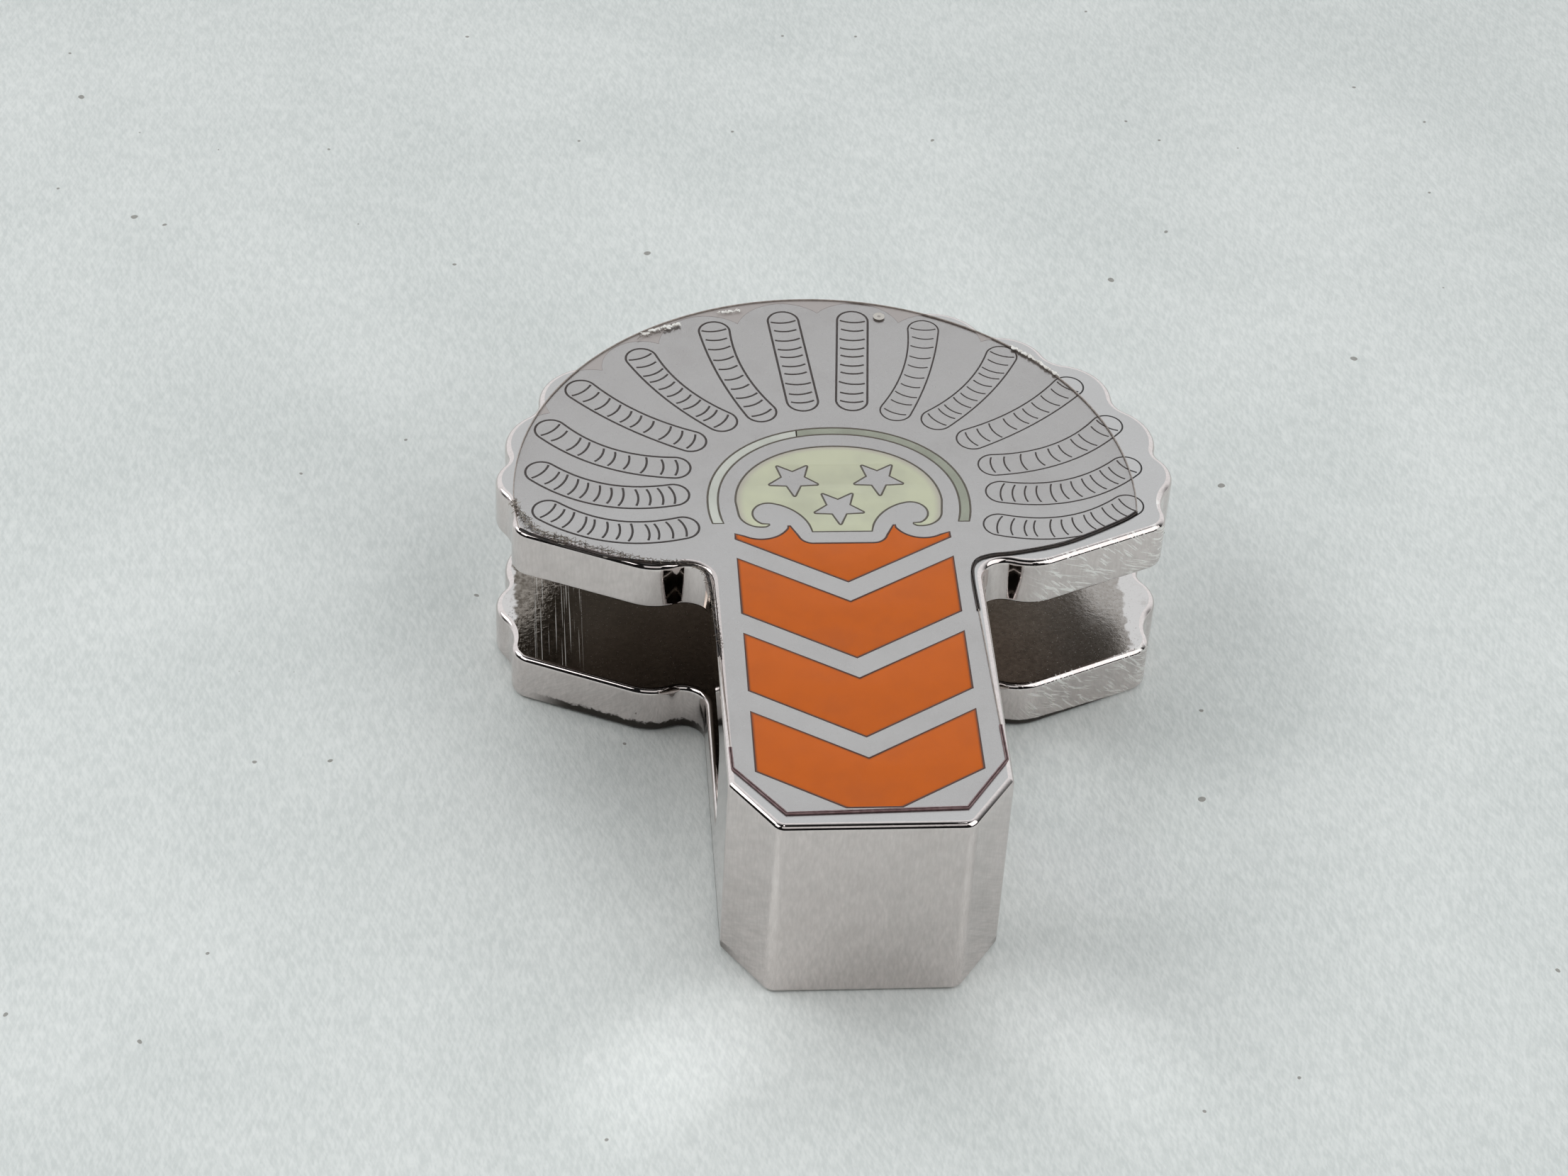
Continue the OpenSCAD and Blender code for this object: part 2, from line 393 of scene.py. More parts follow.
def chevron_outline(number, g):
    """V-shaped field of the stem, drawn smaller by g all round."""
    low = CREST_SIDE_Y - FIELD_PITCH * number
    top = low + FIELD_LENGTH
    w = FIELD_HALF - g
    s = g * math.hypot(FIELD_HALF, FIELD_DROP) / FIELD_HALF
    flat = FIELD_HALF * (1 - (low - LAST_FLAT_Y) / FIELD_DROP)
    front = [(0, low - FIELD_DROP + s)]
    if number == CHEVRONS:
        front = [(-flat, LAST_FLAT_Y + g), (flat, LAST_FLAT_Y + g)]
    return tidy([np.array(p, float) for p in [
        (w, low + s), (w, top - s), (0, top - FIELD_DROP - s), (-w, top - s), (-w, low + s), *front,
    ]])


def crest_outline(g):
    """First orange field: two peaks at the back, and the V of the others in front."""
    s = g * math.hypot(FIELD_HALF, FIELD_DROP) / FIELD_HALF
    half = [np.array([0, CREST_SIDE_Y - FIELD_DROP + s]), np.array([FIELD_HALF - g, CREST_SIDE_Y + s]),
            np.array([FIELD_HALF - g, CREST_TIP_Y - g])]
    half += drawn(CREST_SHOULDER, g)
    half += [np.array([PEAK[0] + way * PEAK_HALF, PEAK[1] - 2 * g]) for way in (1, -1)]
    half += drawn(CREST_DIP, g)
    return tidy(half + flip(half))


print("points round the crest and round a chevron:", len(crest_outline(0)), len(chevron_outline(1, 0)))


# %% Band, dome and stars
def arch(a, b, start, end, steps=56):
    """Points along a slightly squared half ellipse."""
    points = []
    for i in range(steps + 1):
        t = math.radians(start + (end - start) * i / steps)
        c, s = math.cos(t), math.sin(t)
        points.append(np.array([
            a * math.copysign(abs(c) ** (2 / ARCH_POWER), c),
            ARCH_Y + b * math.copysign(abs(s) ** (2 / ARCH_POWER), s),
        ]))
    return points


def band_outline(g, side=0):
    """Half-ring band, or its part on one side of the colour change: -1 left, 1 right."""
    a, b, width = BAND
    lines = []
    for a_g, b_g in ((a - g, b - g), (a - width + g, b - width + g)):
        tail = math.degrees(math.asin(((ARCH_Y - BAND_END_Y - g) / b_g) ** (ARCH_POWER / 2)))
        ends = [-tail, 180 + tail]
        if side:
            split = BAND_SPLIT_X + side * g
            share = math.copysign((abs(split) / a_g) ** (ARCH_POWER / 2), split)
            ends[1 if side > 0 else 0] = math.degrees(math.acos(share))
        lines.append(arch(a_g, b_g, *ends))
    return tidy([*lines[0], *reversed(lines[1])])


def dome_outline(g):
    """Dome with two scrolls at its lower edge."""
    floor_y = DOME_FLOOR_Y + g
    flank = DOME_FLANK[0]
    floor_x = flank[0] - math.sqrt((DOME_FLANK[1] + g) ** 2 - (floor_y - flank[1]) ** 2)
    half = [np.array([floor_x, floor_y]), *drawn(DOME_FLANK, g)]
    half += drawn(SCROLL_BACK, g, SCROLL_STEP)
    half += [np.array([HOOK_TIP[0] + g, HOOK_TIP[1] + way * (HOOK_TIP_HALF - g)]) for way in (1, -1)]
    half += drawn(SCROLL_FRONT, -g, SCROLL_STEP)
    half += arch(DOME[0] - g, DOME[1] - g, 2, 90, steps=30)
    return tidy(half + flip(half))


def star_outline(centre, g):
    """Five-pointed star with one tip to the front and its tips worn round."""
    count = 2 * STAR_TIPS
    reaches = [(STAR_R + g) * (STAR_WAIST if i % 2 else 1) for i in range(count)]
    corners = [polar(centre, reach, -90 + 360 * i / count) for i, reach in enumerate(reaches)]
    points = []
    for i, corner in enumerate(corners):
        if i % 2:
            points.append(corner)
        else:
            points += round_corner(corners[i - 1], corner, corners[(i + 1) % count], STAR_ROUND)
    return tidy(points)


print("points round the dome and round a star:", len(dome_outline(0)), len(star_outline(STARS[0], 0)))

# %% [markdown]
# The body.
# The real clip is cast or struck in one piece and its edges are rounded on a polishing
# wheel. Here a prism over the plates' outline has a bar cut away for the scarf, which
# leaves two plates and the bridge. The bevel comes next, on all sharp outer edges at
# once, because it is the soft highlights along rounded edges that make metal look real.

# %% Body
# Thickness of a plate, the gap's closed end and its round corners, and reach of its tool
PLATE_T = 3.0
SLOT_REACH = 17.6
SLOT_CORNER = 0.8
GAP_REACH = 30
POCKET_D = 0.4
EDGE_ROUND = 0.34
EDGE_SEGMENTS = 5
SHARP_ANGLE = 60


def gap_tool():
    """What is cut away for the scarf: a bar across the clip with two round corners."""
    reach = SLOT_REACH - SLOT_CORNER
    high, low = TOP_Z - PLATE_T, PLATE_T
    profile = [(GAP_REACH, high), *arc((-reach, high - SLOT_CORNER), SLOT_CORNER, 90, 180, FINE_STEP),
               *arc((-reach, low + SLOT_CORNER), SLOT_CORNER, 180, 270, FINE_STEP), (GAP_REACH, low)]
    profile = tidy([np.array(p, float) for p in profile])
    return loft("gap_tool", *([at((x, p[0]), p[1]) for p in profile] for x in (-GAP_REACH, GAP_REACH)))


def polish_edges(obj, width, segments):
    """Rounds every sharp outer edge, as polishing does."""
    bm = bmesh.new()
    bm.from_mesh(obj.data)
    outer = [e for e in bm.edges if e.is_manifold and e.is_convex]
    sharp = [e for e in outer if e.calc_face_angle() > math.radians(SHARP_ANGLE)]
    bmesh.ops.bevel(bm, geom=sharp, offset=width * MM, offset_type="OFFSET", segments=segments,
                    profile=0.5, affect="EDGES", clamp_overlap=False)
    bmesh.ops.recalc_face_normals(bm, faces=bm.faces)
    bm.to_mesh(obj.data)
    bm.free()
    return len(sharp)


body = prism("clip", PLATE, 0, TOP_Z)
body = subtract(body, gap_tool())
weld(body)
rounded = polish_edges(body, EDGE_ROUND, EDGE_SEGMENTS)
print("body:", rounded, "edges rounded,", len(body.data.polygons), "faces")

# %% [markdown]
# Pockets for the enamel.
# Each field of enamel lies in a shallow pocket that the die left in the upper face.
# The stars are what the dome's pocket leaves standing. One filled outline, with the
# stars as its holes, gives both the pocket's cutting tool and later the enamel itself.

# %% Pockets
def field_loops(name, g):
    """Outlines of an enamel field, drawn smaller by g all round."""
    if name.startswith("chevron"):
        return [chevron_outline(int(name[-1]), g)]
    if name.startswith("band"):
        return [band_outline(g, {"band_pale": -1, "band_green": 1}.get(name, 0))]
    if name == "orange_crest":
        return [crest_outline(g)]
    return [dome_outline(g), *(star_outline(centre, g) for centre in STARS)]


POCKETS = ["orange_crest", *(f"chevron_{i}" for i in range(1, CHEVRONS + 1)), "band", "dome_enamel"]
for name in POCKETS:
    body = subtract(body, filled("pocket_tool", field_loops(name, 0), TOP_Z - POCKET_D, TOP_Z + 1))
weld(body)
body.name = "polished_clip"
print("body with pockets:", len(body.data.polygons), "faces")

# %% [markdown]
# Which surface is which.
# The upper face lies under the film and is finer than the walls, which took the polishing wheel. The gap's
# lower face is stained and scratched, and painted with light and shade. Its upper face is painted nearly
# black, as shade. The pockets are dull. Each face of the mesh gets one of these five finishes by its height
# and direction, which needs no hand-picked list and still holds when a size changes.

# %% Surfaces of the body
FACE, WALL, GAP, UNDERSIDE, POCKET = range(5)
# How near a face has to be to a height, how near to level or upright, and how near the top
NEAR, TILT, TOP_NEAR = 0.01, 0.01, 0.001
POCKET_MARGIN = 0.1
ARCH_MARGIN = 0.5


def plan_centre(polygon):
    """Middle of a face in plan, round the centre of the fan."""
    return polygon.center.x / MM, polygon.center.y / MM - FAN_Y


def polygon_in_pocket(polygon):
    """Whether a face near the top belongs to a pocket and not to the outer wall."""
    x, y = plan_centre(polygon)
    in_stem = y < CREST_TIP_Y and abs(x) < FIELD_HALF + POCKET_MARGIN
    in_arch = y >= CREST_TIP_Y and math.hypot(x, y) < BAND[0] + ARCH_MARGIN
    return (in_stem or in_arch) and y > LAST_FLAT_Y - POCKET_MARGIN


def in_slot_end(polygon):
    """Whether a face belongs to the closed end of the gap."""
    x, y = plan_centre(polygon)
    beside = abs(x) < STEM_HALF - EDGE_ROUND - NEAR
    return beside and -SLOT_REACH - NEAR < y < -SLOT_REACH + SLOT_CORNER


def surface_of(polygon):
    """Which finish a face of the body takes."""
    z, up = polygon.center.z / MM, polygon.normal.z
    facing_up, facing_down, upright = up > 1 - TILT, up < TILT - 1, abs(up) < TILT
    pocket_deep = TOP_Z - POCKET_D - NEAR < z < TOP_Z - TOP_NEAR
    in_gap = PLATE_T - NEAR < z < TOP_Z - PLATE_T + NEAR
    if pocket_deep and (facing_up or upright) and polygon_in_pocket(polygon):
        return POCKET
    if facing_up and z > TOP_Z - TOP_NEAR:
        return FACE
    if in_gap and (facing_up or facing_down or in_slot_end(polygon)):
        return UNDERSIDE if facing_down else GAP
    return WALL


for polygon in body.data.polygons:
    polygon.material_index = surface_of(polygon)

# %% Smooth shading of the body
# Edges that turn by more than this stay sharp
SHARP_TURN = 35
# Only the size of a face decides how much it turns the shading at its corners
BY_AREA = 100
body.data.shade_smooth()
body.data.set_sharp_from_angle(angle=math.radians(SHARP_TURN))
weighted = body.modifiers.new("weighted", "WEIGHTED_NORMAL")
weighted.keep_sharp, weighted.weight = True, BY_AREA
body = settle(body)
counts = [sum(p.material_index == i for p in body.data.polygons) for i in range(5)]
print("faces of the upper face, walls, gap, its underside and pockets:", counts)

# %% [markdown]
# Enamel.
# Enamel is glass that was melted into its pocket and ground flush. Each field is a
# slab with slightly rounded rims, a hair smaller than its pocket, so the rim reads as
# the thin dark line that cell walls draw round real enamel.

# %% Enamel pieces
ENAMEL_GAP = 0.04
ENAMEL_TURN = 40
ENAMEL_RIM = 0.02
ENAMEL_TOP = TOP_Z - 0.004
FIELDS = {
    "orange_crest": "orange_enamel",
    **{f"chevron_{i}": "orange_enamel" for i in range(1, CHEVRONS + 1)},
    "dome_enamel": "cream_enamel",
    "band_pale": "pale_enamel",
    "band_green": "green_enamel",
}
enamels = {}
for name in FIELDS:
    loops = field_loops(name, ENAMEL_GAP)
    piece = filled(f"{name}_glass", loops, TOP_Z - POCKET_D, ENAMEL_TOP, ENAMEL_RIM)
    piece.data.shade_smooth()
    piece.data.set_sharp_from_angle(angle=math.radians(ENAMEL_TURN))
    enamels[name] = piece
    print(name, len(piece.data.polygons), "faces")

# %% [markdown]
# Lines that follow a path.
# Two kinds of thin line are cut into the upper face: the line round each field and
# star, and the engraving of the bars. Both are a narrow strip swept along a curve,
# which is what Curve to Mesh does in Geometry Nodes. A small helper builds a tree from
# named inputs, so that each tree below reads as a list of steps.

# %% Geometry Nodes helper
class Steps:
    """A Geometry Nodes tree, built step by step."""

    def __init__(self, name, inputs):
        self.tree = bpy.data.node_groups.new(name, "GeometryNodeTree")
        for way in ("INPUT", "OUTPUT"):
            self.tree.interface.new_socket("Geometry", in_out=way, socket_type="NodeSocketGeometry")
        for label, kind in inputs.items():
            self.tree.interface.new_socket(label, in_out="INPUT", socket_type=f"NodeSocket{kind}")
        self.source = self.tree.nodes.new("NodeGroupInput")
        self.sink = self.tree.nodes.new("NodeGroupOutput")

    def given(self, label):
        """One of the tree's own inputs."""
        return self.source.outputs[label]

    def add(self, kind, settings=None, inputs=None, out=0):
        """One node: its type, its settings, what its sockets take, and the output or outputs wanted."""
        node = self.tree.nodes.new(kind)
        for key, value in (settings or {}).items():
            setattr(node, key, value)
        for key, value in (inputs or {}).items():
            for one in value if isinstance(value, list) else [value]:
                if isinstance(one, bpy.types.NodeSocket):
                    self.tree.links.new(one, node.inputs[key])
                else:
                    node.inputs[key].default_value = one
        return [node.outputs[one] for one in out] if isinstance(out, list) else node.outputs[out]

    def number(self, operation, *values):
        return self.add("ShaderNodeMath", {"operation": operation}, dict(enumerate(values)))

    def vector(self, operation, *values):
        return self.add("ShaderNodeVectorMath", {"operation": operation}, dict(enumerate(values)))

    def scaled(self, vector, share):
        return self.add("ShaderNodeVectorMath", {"operation": "SCALE"}, {0: vector, "Scale": share})

    def place(self, **parts):
        """Vector with these parts of X, Y and Z, and 0 for the others."""
        return self.add("ShaderNodeCombineXYZ", None, parts)

    def random(self, low, high, seed):
        """Another number on each point."""
        limits = {2: low, 3: high, "Seed": seed}
        return self.add("FunctionNodeRandomValue", {"data_type": "FLOAT"}, limits, out=1)

    def random_vector(self, low, high, seed):
        """Another vector on each point."""
        limits = {0: low, 1: high, "Seed": seed}
        return self.add("FunctionNodeRandomValue", {"data_type": "FLOAT_VECTOR"}, limits)

    def moved(self, geometry, offset):
        return self.add("GeometryNodeSetPosition", None, {"Geometry": geometry, "Offset": offset})

    def strewn(self, points, shape, turn, size):
        """The shape on each point, turned round the upright axis and sized."""
        return self.add("GeometryNodeInstanceOnPoints", None, {
            "Points": points, "Instance": shape, "Rotation": self.place(Z=turn), "Scale": size})

    def real(self, geometry):
        return self.add("GeometryNodeRealizeInstances", None, {"Geometry": geometry})

    def sweep(self, curve):
        """Flat strip along a curve, with closed ends."""
        section = self.add("GeometryNodeCurvePrimitiveQuadrilateral", None,
                           {"Width": self.given("Line Width"), "Height": self.given("Line Depth")})
        level = self.add("GeometryNodeSetCurveNormal", {"mode": "Z_UP"}, {"Curve": curve})
        return self.add("GeometryNodeCurveToMesh", None,
                        {"Curve": level, "Profile Curve": section, "Fill Caps": True})

    def finish(self, geometry):
        """Real geometry with the tree's material on it."""
        done = self.add("GeometryNodeSetMaterial", None,
                        {"Geometry": self.real(geometry), "Material": self.given("Material")})
        self.tree.links.new(done, self.sink.inputs["Geometry"])
        return self.tree


# %% Running a tree
def grow(tree, obj, values):
    """Runs a tree on an object with its inputs set by identifier, and keeps the result as a plain mesh."""
    modifier = obj.modifiers.new("steps", "NODES")
    modifier.node_group = tree
    for item in tree.interface.items_tree:
        if item.in_out == "INPUT" and item.name in values:
            modifier[item.identifier] = values[item.name]
    return settle(obj)


def path(name, points, z, closed=False, thickness=None):
    """Curve through plan points at one height, thicker or thinner at each point if wanted."""
    curve = bpy.data.curves.new(name, "CURVE")
    curve.dimensions = "3D"
    spline = curve.splines.new("POLY")
    spline.points.add(len(points) - 1)
    for point, p in zip(spline.points, points):
        point.co = (*at(p, z), 1)
    if thickness:
        for point, radius in zip(spline.points, thickness):
            point.radius = radius
    spline.use_cyclic_u = closed
    return new_object(name, curve)


def joined(objects, name):
    """Several mesh objects as one."""
    bm = bmesh.new()
    slots = []
    for obj in objects:
        first = len(bm.faces)
        bm.from_mesh(obj.data)
        bm.faces.ensure_lookup_table()
        for face in bm.faces[first:]:
            material = obj.data.materials[face.material_index] if obj.data.materials else None
            if material not in slots:
                slots.append(material)
            face.material_index = slots.index(material)
    mesh = bpy.data.meshes.new(name)
    bm.to_mesh(mesh)
    bm.free()
    for material in slots:
        mesh.materials.append(material)
    for obj in objects:
        bpy.data.objects.remove(obj)
    return new_object(name, mesh)


# %% [markdown]
# Engraved bars.
# Fourteen bars radiate from the dome, each a long loop filled with short cross strokes
# that were cut by hand. The right half mirrors the left. Each bar is drawn straight
# first, as a loop and a row of strokes along one axis, and then wrapped along its own
# bowed middle line: a point at distance s along and v across goes to the point of the
# line at s, moved sideways by v. One tree does this for all bars, because then a change
# to the strokes is made once.

# %% Loop and strokes of a bar
# Points of the circle that the loop is made from, and the distance between the loop's own
LOOP_POINTS = 64
LOOP_STEP = 0.12
# The first stroke lies this far before the start of the middle line
STROKE_LEAD = 0.1
STROKE_STEPS = 8
# Where the handles of the bowed stroke lie, as a share of its reach
STROKE_HANDLE = 0.4
STROKE_TURN = 0.07
STROKE_SIZES = (0.9, 1.06)
TURN_SEED, SIZE_SEED = 11, 12


def bar_loop(t, length):
    """Loop of a bar: a circle whose front half is pushed to the far end."""
    circle = t.add("GeometryNodeCurvePrimitiveCircle", {"mode": "RADIUS"},
                   {"Resolution": LOOP_POINTS, "Radius": t.given("Half Width")})
    x = t.add("ShaderNodeSeparateXYZ", None, {"Vector": t.add("GeometryNodeInputPosition")}, out="X")
    far = t.number("MULTIPLY", t.number("GREATER_THAN", x, 0.0), length)
    loop = t.moved(circle, t.place(X=far))
    return t.add("GeometryNodeResampleCurve", {"mode": "LENGTH"}, {"Curve": loop, "Length": LOOP_STEP * MM})


def bar_stroke(t):
    """One cross stroke: a shallow bow from side to side."""
    reach = t.number("MULTIPLY", t.given("Half Width"), t.given("Stroke Reach"))
    back, front = (t.place(X=t.given("Stroke Bow"), Y=t.number("MULTIPLY", reach, way * STROKE_HANDLE))
                   for way in (-1, 1))
    stroke = t.add("GeometryNodeCurvePrimitiveBezierSegment", {"mode": "POSITION"}, {
        "Resolution": STROKE_STEPS, "Start": t.place(Y=t.number("MULTIPLY", reach, -1.0)),
        "Start Handle": back, "End Handle": front, "End": t.place(Y=reach)})
    return t.add("GeometryNodeResampleCurve", {"mode": "COUNT"}, {"Curve": stroke, "Count": STROKE_STEPS + 1})


def bar_strokes(t, length):
    """A row of strokes, each a little out of place."""
    last = t.number("SUBTRACT", t.given("Strokes"), 1.0)
    pitch = t.number("DIVIDE", t.number("ADD", length, STROKE_LEAD * MM), last)
    row = t.add("GeometryNodeMeshLine", {"mode": "OFFSET"}, {
        "Count": t.given("Strokes"), "Start Location": t.place(X=-STROKE_LEAD * MM),
        "Offset": t.place(X=pitch)})
    slip = t.random(t.number("MULTIPLY", t.given("Jitter"), -1.0), t.given("Jitter"), t.given("Seed"))
    row = t.moved(row, t.place(X=slip))
    turn = t.random(-STROKE_TURN, STROKE_TURN, TURN_SEED)
    strokes = t.real(t.strewn(row, bar_stroke(t), turn, t.random(*STROKE_SIZES, SIZE_SEED)))
    return t.add("GeometryNodeSetCurveRadius", None, {"Curve": strokes, "Radius": t.given("Stroke Weight")})


# %% Trees of the bars and of a plain line
def along_spine(t, drawn_straight, length):
    """Wraps a straight drawing along the tree's curve. What lies past its ends goes straight on."""
    drawn_at = t.add("GeometryNodeInputPosition")
    s, v = t.add("ShaderNodeSeparateXYZ", None, {"Vector": drawn_at}, out=["X", "Y"])
    held = t.number("MINIMUM", t.number("MAXIMUM", s, 0.0), length)
    place, tangent = t.add("GeometryNodeSampleCurve", {"mode": "LENGTH"},
                           {"Curves": t.given("Geometry"), "Length": held}, out=["Position", "Tangent"])
    side = t.vector("CROSS_PRODUCT", (0, 0, 1), tangent)
    # The width keeps the share Waist in the middle of the bar and all of it at both ends
    across = t.number("SUBTRACT", t.number("MULTIPLY", t.number("DIVIDE", held, length), 2.0), 1.0)
    narrow = t.number("SUBTRACT", 1.0, t.number("MULTIPLY", across, across))
    lost = t.number("SUBTRACT", 1.0, t.given("Waist"))
    width = t.number("SUBTRACT", 1.0, t.number("MULTIPLY", narrow, lost))
    past = t.scaled(tangent, t.number("SUBTRACT", s, held))
    aside = t.scaled(side, t.number("MULTIPLY", v, width))
    target = t.vector("ADD", t.vector("ADD", place, past), aside)
    return t.add("GeometryNodeSetPosition", None, {"Geometry": drawn_straight, "Position": target})


def bar_tree():
    """Loop and cross strokes, wrapped along the curve that the tree is run on."""
    t = Steps("engraved_bar", {
        "Half Width": "Float", "Waist": "Float", "Strokes": "Int", "Stroke Reach": "Float",
        "Stroke Bow": "Float", "Stroke Weight": "Float", "Jitter": "Float", "Line Width": "Float",
        "Line Depth": "Float", "Seed": "Int", "Material": "Material",
    })
    length = t.add("GeometryNodeCurveLength", None, {"Curve": t.given("Geometry")})
    parts = [bar_strokes(t, length), bar_loop(t, length)]
    both = t.add("GeometryNodeJoinGeometry", None, {"Geometry": parts})
    return t.finish(t.sweep(along_spine(t, both, length)))


def line_tree():
    """A thin strip along the curve that the tree is run on."""
    t = Steps("cell_line", {"Line Width": "Float", "Line Depth": "Float", "Material": "Material"})
    return t.finish(t.sweep(t.given("Geometry")))


ENGRAVED_BAR, CELL_LINE = bar_tree(), line_tree()
print("nodes in the trees:", len(ENGRAVED_BAR.nodes), "and", len(CELL_LINE.nodes))

# %% [markdown]
# Shader sums in plain Python.
# A finish is a sum of masks and noises. Wrapping a node's output in a small class lets
# the sum be written as it is thought, and every other node comes from one method. Most
# marks on a surface, such as grain, stains and pits, are a noise of some size of which
# only what rises between two levels is kept. So each finish below starts with a table
# of its marks, and says in small tables how much each one dulls, roughens and raises.

# %% Shader helper
class Value:
    """One output in a material. Python's operators on it add Math nodes."""

    def __init__(self, finish, socket):
        self.finish, self.socket = finish, socket

    def math(self, operation, *values, clamp=False):
        settings = {"operation": operation, "use_clamp": clamp}
        return self.finish.add("ShaderNodeMath", settings, dict(enumerate(values)))

    def __add__(self, other):
        return self.math("ADD", self, other)

    def __mul__(self, other):
        return self.math("MULTIPLY", self, other)

    def __sub__(self, other):
        return self.math("SUBTRACT", self, other)

    def __rsub__(self, other):
        return self.math("SUBTRACT", other, self)

    def __pow__(self, other):
        return self.math("POWER", self, other)

    def __mod__(self, other):
        return self.math("FLOORED_MODULO", self, other)

    def __abs__(self):
        return self.math("ABSOLUTE", self)

    __radd__ = __add__
    __rmul__ = __mul__

    def clamp(self):
        return self.math("ADD", self, 0.0, clamp=True)


# %% Finish helper
class Finish:
    """A material, and the one way to add nodes to it."""

    def __init__(self, name):
        self.material = bpy.data.materials.new(name)
        self.material.use_nodes = True
        self.tree = self.material.node_tree
        self.tree.nodes.clear()
        self.place = self.add("ShaderNodeTexCoord", out="Object")

    def add(self, kind, settings=None, inputs=None, out=0):
        """One node: its type, its settings, what its sockets take, and the output or outputs wanted."""
        node = self.tree.nodes.new(kind)
        for key, value in (settings or {}).items():
            setattr(node, key, value)
        for key, value in (inputs or {}).items():
            if isinstance(value, Value):
                self.tree.links.new(value.socket, node.inputs[key])
            else:
                node.inputs[key].default_value = value
        values = [Value(self, node.outputs[one]) for one in (out if isinstance(out, list) else [out])]
        return values if isinstance(out, list) else values[0]

    def noise(self, size, detail=2.0, roughness=0.5, stretch=(1, 1, 1), lean=(0, 0, 0), distortion=0.0):
        """Noise with spots of that size in millimetres, drawn out along the axes of a frame that leans."""
        place = self.add("ShaderNodeMapping", {"vector_type": "TEXTURE"}, {
            "Vector": self.place, "Rotation": tuple(math.radians(v) for v in lean), "Scale": stretch})
        return self.add("ShaderNodeTexNoise", None, {
            "Vector": place, "Scale": 1 / (size * MM), "Detail": detail, "Roughness": roughness,
            "Distortion": distortion})

    def marks(self, table):
        """Named marks from a table: the two levels between which each one's noise counts, and the noise."""
        return {name: self.between(self.noise(**noise), *levels) for name, (levels, noise) in table.items()}

    def plan(self):
        """Place on the object in millimetres: x, y round the centre of the fan, and z."""
        parts = self.add("ShaderNodeSeparateXYZ", None, {0: self.place}, out=["X", "Y", "Z"])
        x, y, z = (part * (1 / MM) for part in parts)
        return x, y - FAN_Y, z

    def between(self, value, low, high):
        """0 where value is at low, 1 where it is at high, and smooth in between."""
        return self.add("ShaderNodeMapRange", {"interpolation_type": "SMOOTHSTEP"},
                        {"Value": value, "From Min": low, "From Max": high})

    def within(self, value, start, full, fade, end):
        """0 up to start, 1 from full to fade, and 0 from end on."""
        return self.between(value, start, full) * self.between(value, end, fade)

    def reach(self, x, y):
        """Distance of the place x, y from the middle."""
        away = self.add("ShaderNodeCombineXYZ", None, {"X": x, "Y": y})
        return self.add("ShaderNodeVectorMath", {"operation": "LENGTH"}, {0: away}, out=1)

    def mix(self, share, a, b):
        """Colour a, turning into colour b as share goes to 1."""
        return self.add("ShaderNodeMix", {"data_type": "RGBA"}, {0: share, 6: a, 7: b}, out=2)

    def bump(self, height, strength, depth):
        """Normal of a surface with bumps of that depth in millimetres."""
        sockets = {"Height": height, "Strength": strength, "Distance": depth * MM}
        return self.add("ShaderNodeBump", None, sockets)

    def surface(self, **inputs):
        """Ends the material in a Principled shader with these sockets."""
        inputs = {key.replace("_", " "): value for key, value in inputs.items()}
        shader = self.add("ShaderNodeBsdfPrincipled", None, inputs)
        end = self.tree.nodes.new("ShaderNodeOutputMaterial")
        self.tree.links.new(shader.socket, end.inputs["Surface"])
        return self.material


def weighed(marks, shares):
    """Sum of the marks, each by its share."""
    return sum(marks[name] * share for name, share in shares.items())


def rgb(red, green, blue):
    """Colour from the 0 to 255 numbers of a screen, as light."""
    line = [c / 255 for c in (red, green, blue)]
    return (*(c / 12.92 if c <= 0.04045 else ((c + 0.055) / 1.055) ** 2.4 for c in line), 1.0)


# %% [markdown]
# Polished walls.
# The clip is plated and polished: a warm silver that shows whatever stands round it.
# Real polishing leaves a faint waviness and an upright grain, and handling leaves smudges, pits and, at the
# right front, short scratches that lean. Along the foot of the lower plate lies a dark band of painted shade:
# the dark contact under the plate as the rounded foot reflects it, with some real dirt in it on the left. All
# this could be painted by hand. It is made of noises here, because they have no seams and stay sharp however
# near one looks. Masks made from the place on the clip keep scratches and the painted shade where they
# belong.

# %% Marks on the walls
PLATED = (0.72, 0.662, 0.645, 1.0)
PLATED_DULL = (0.55, 0.497, 0.480, 1.0)
FRESH_CUT = (0.98, 0.96, 0.93, 1.0)
# Colour of the painted shade along the foot of the lower plate, with some dirt in it on the left
SHADE_AND_GRIME = (0.035, 0.030, 0.024, 1.0)
WAVES = dict(size=1.6, detail=1.0)
WALL_MARKS = {
    "grain": ((0.3, 0.7), dict(size=0.16, detail=3.0, roughness=0.6, stretch=(1, 1, 4))),
    "smudge": ((0.45, 0.75), dict(size=1.6, detail=3.0, roughness=0.6)),
    "pits": ((0.77, 0.82), dict(size=0.22, detail=1.0)),
}
WALL_DULLS = {"grain": 0.38, "smudge": 0.22, "pits": 0.6}
WALL_ROUGHENS = {"grain": 0.03, "smudge": 0.02, "scratches": 0.34, "shade_and_grime": 0.3}
WALL_RAISES = {"waves": 0.12, "grain": 0.03, "scratches": 0.35, "pits": -0.10}
WALL_ROUGH = 0.04
SCRATCH_BRIGHT = 0.85
SHADE_AND_GRIME_DARK = 0.96

# %% Scratches and grime on the walls
# Scratches: how far each kind leans, and the size of the patches that it comes in
SCRATCH_KINDS = ((28, 1.28), (50, 1.5))
SCRATCH_LEVELS = (0.54, 0.64)
PATCH_LEVELS = (0.42, 0.55)
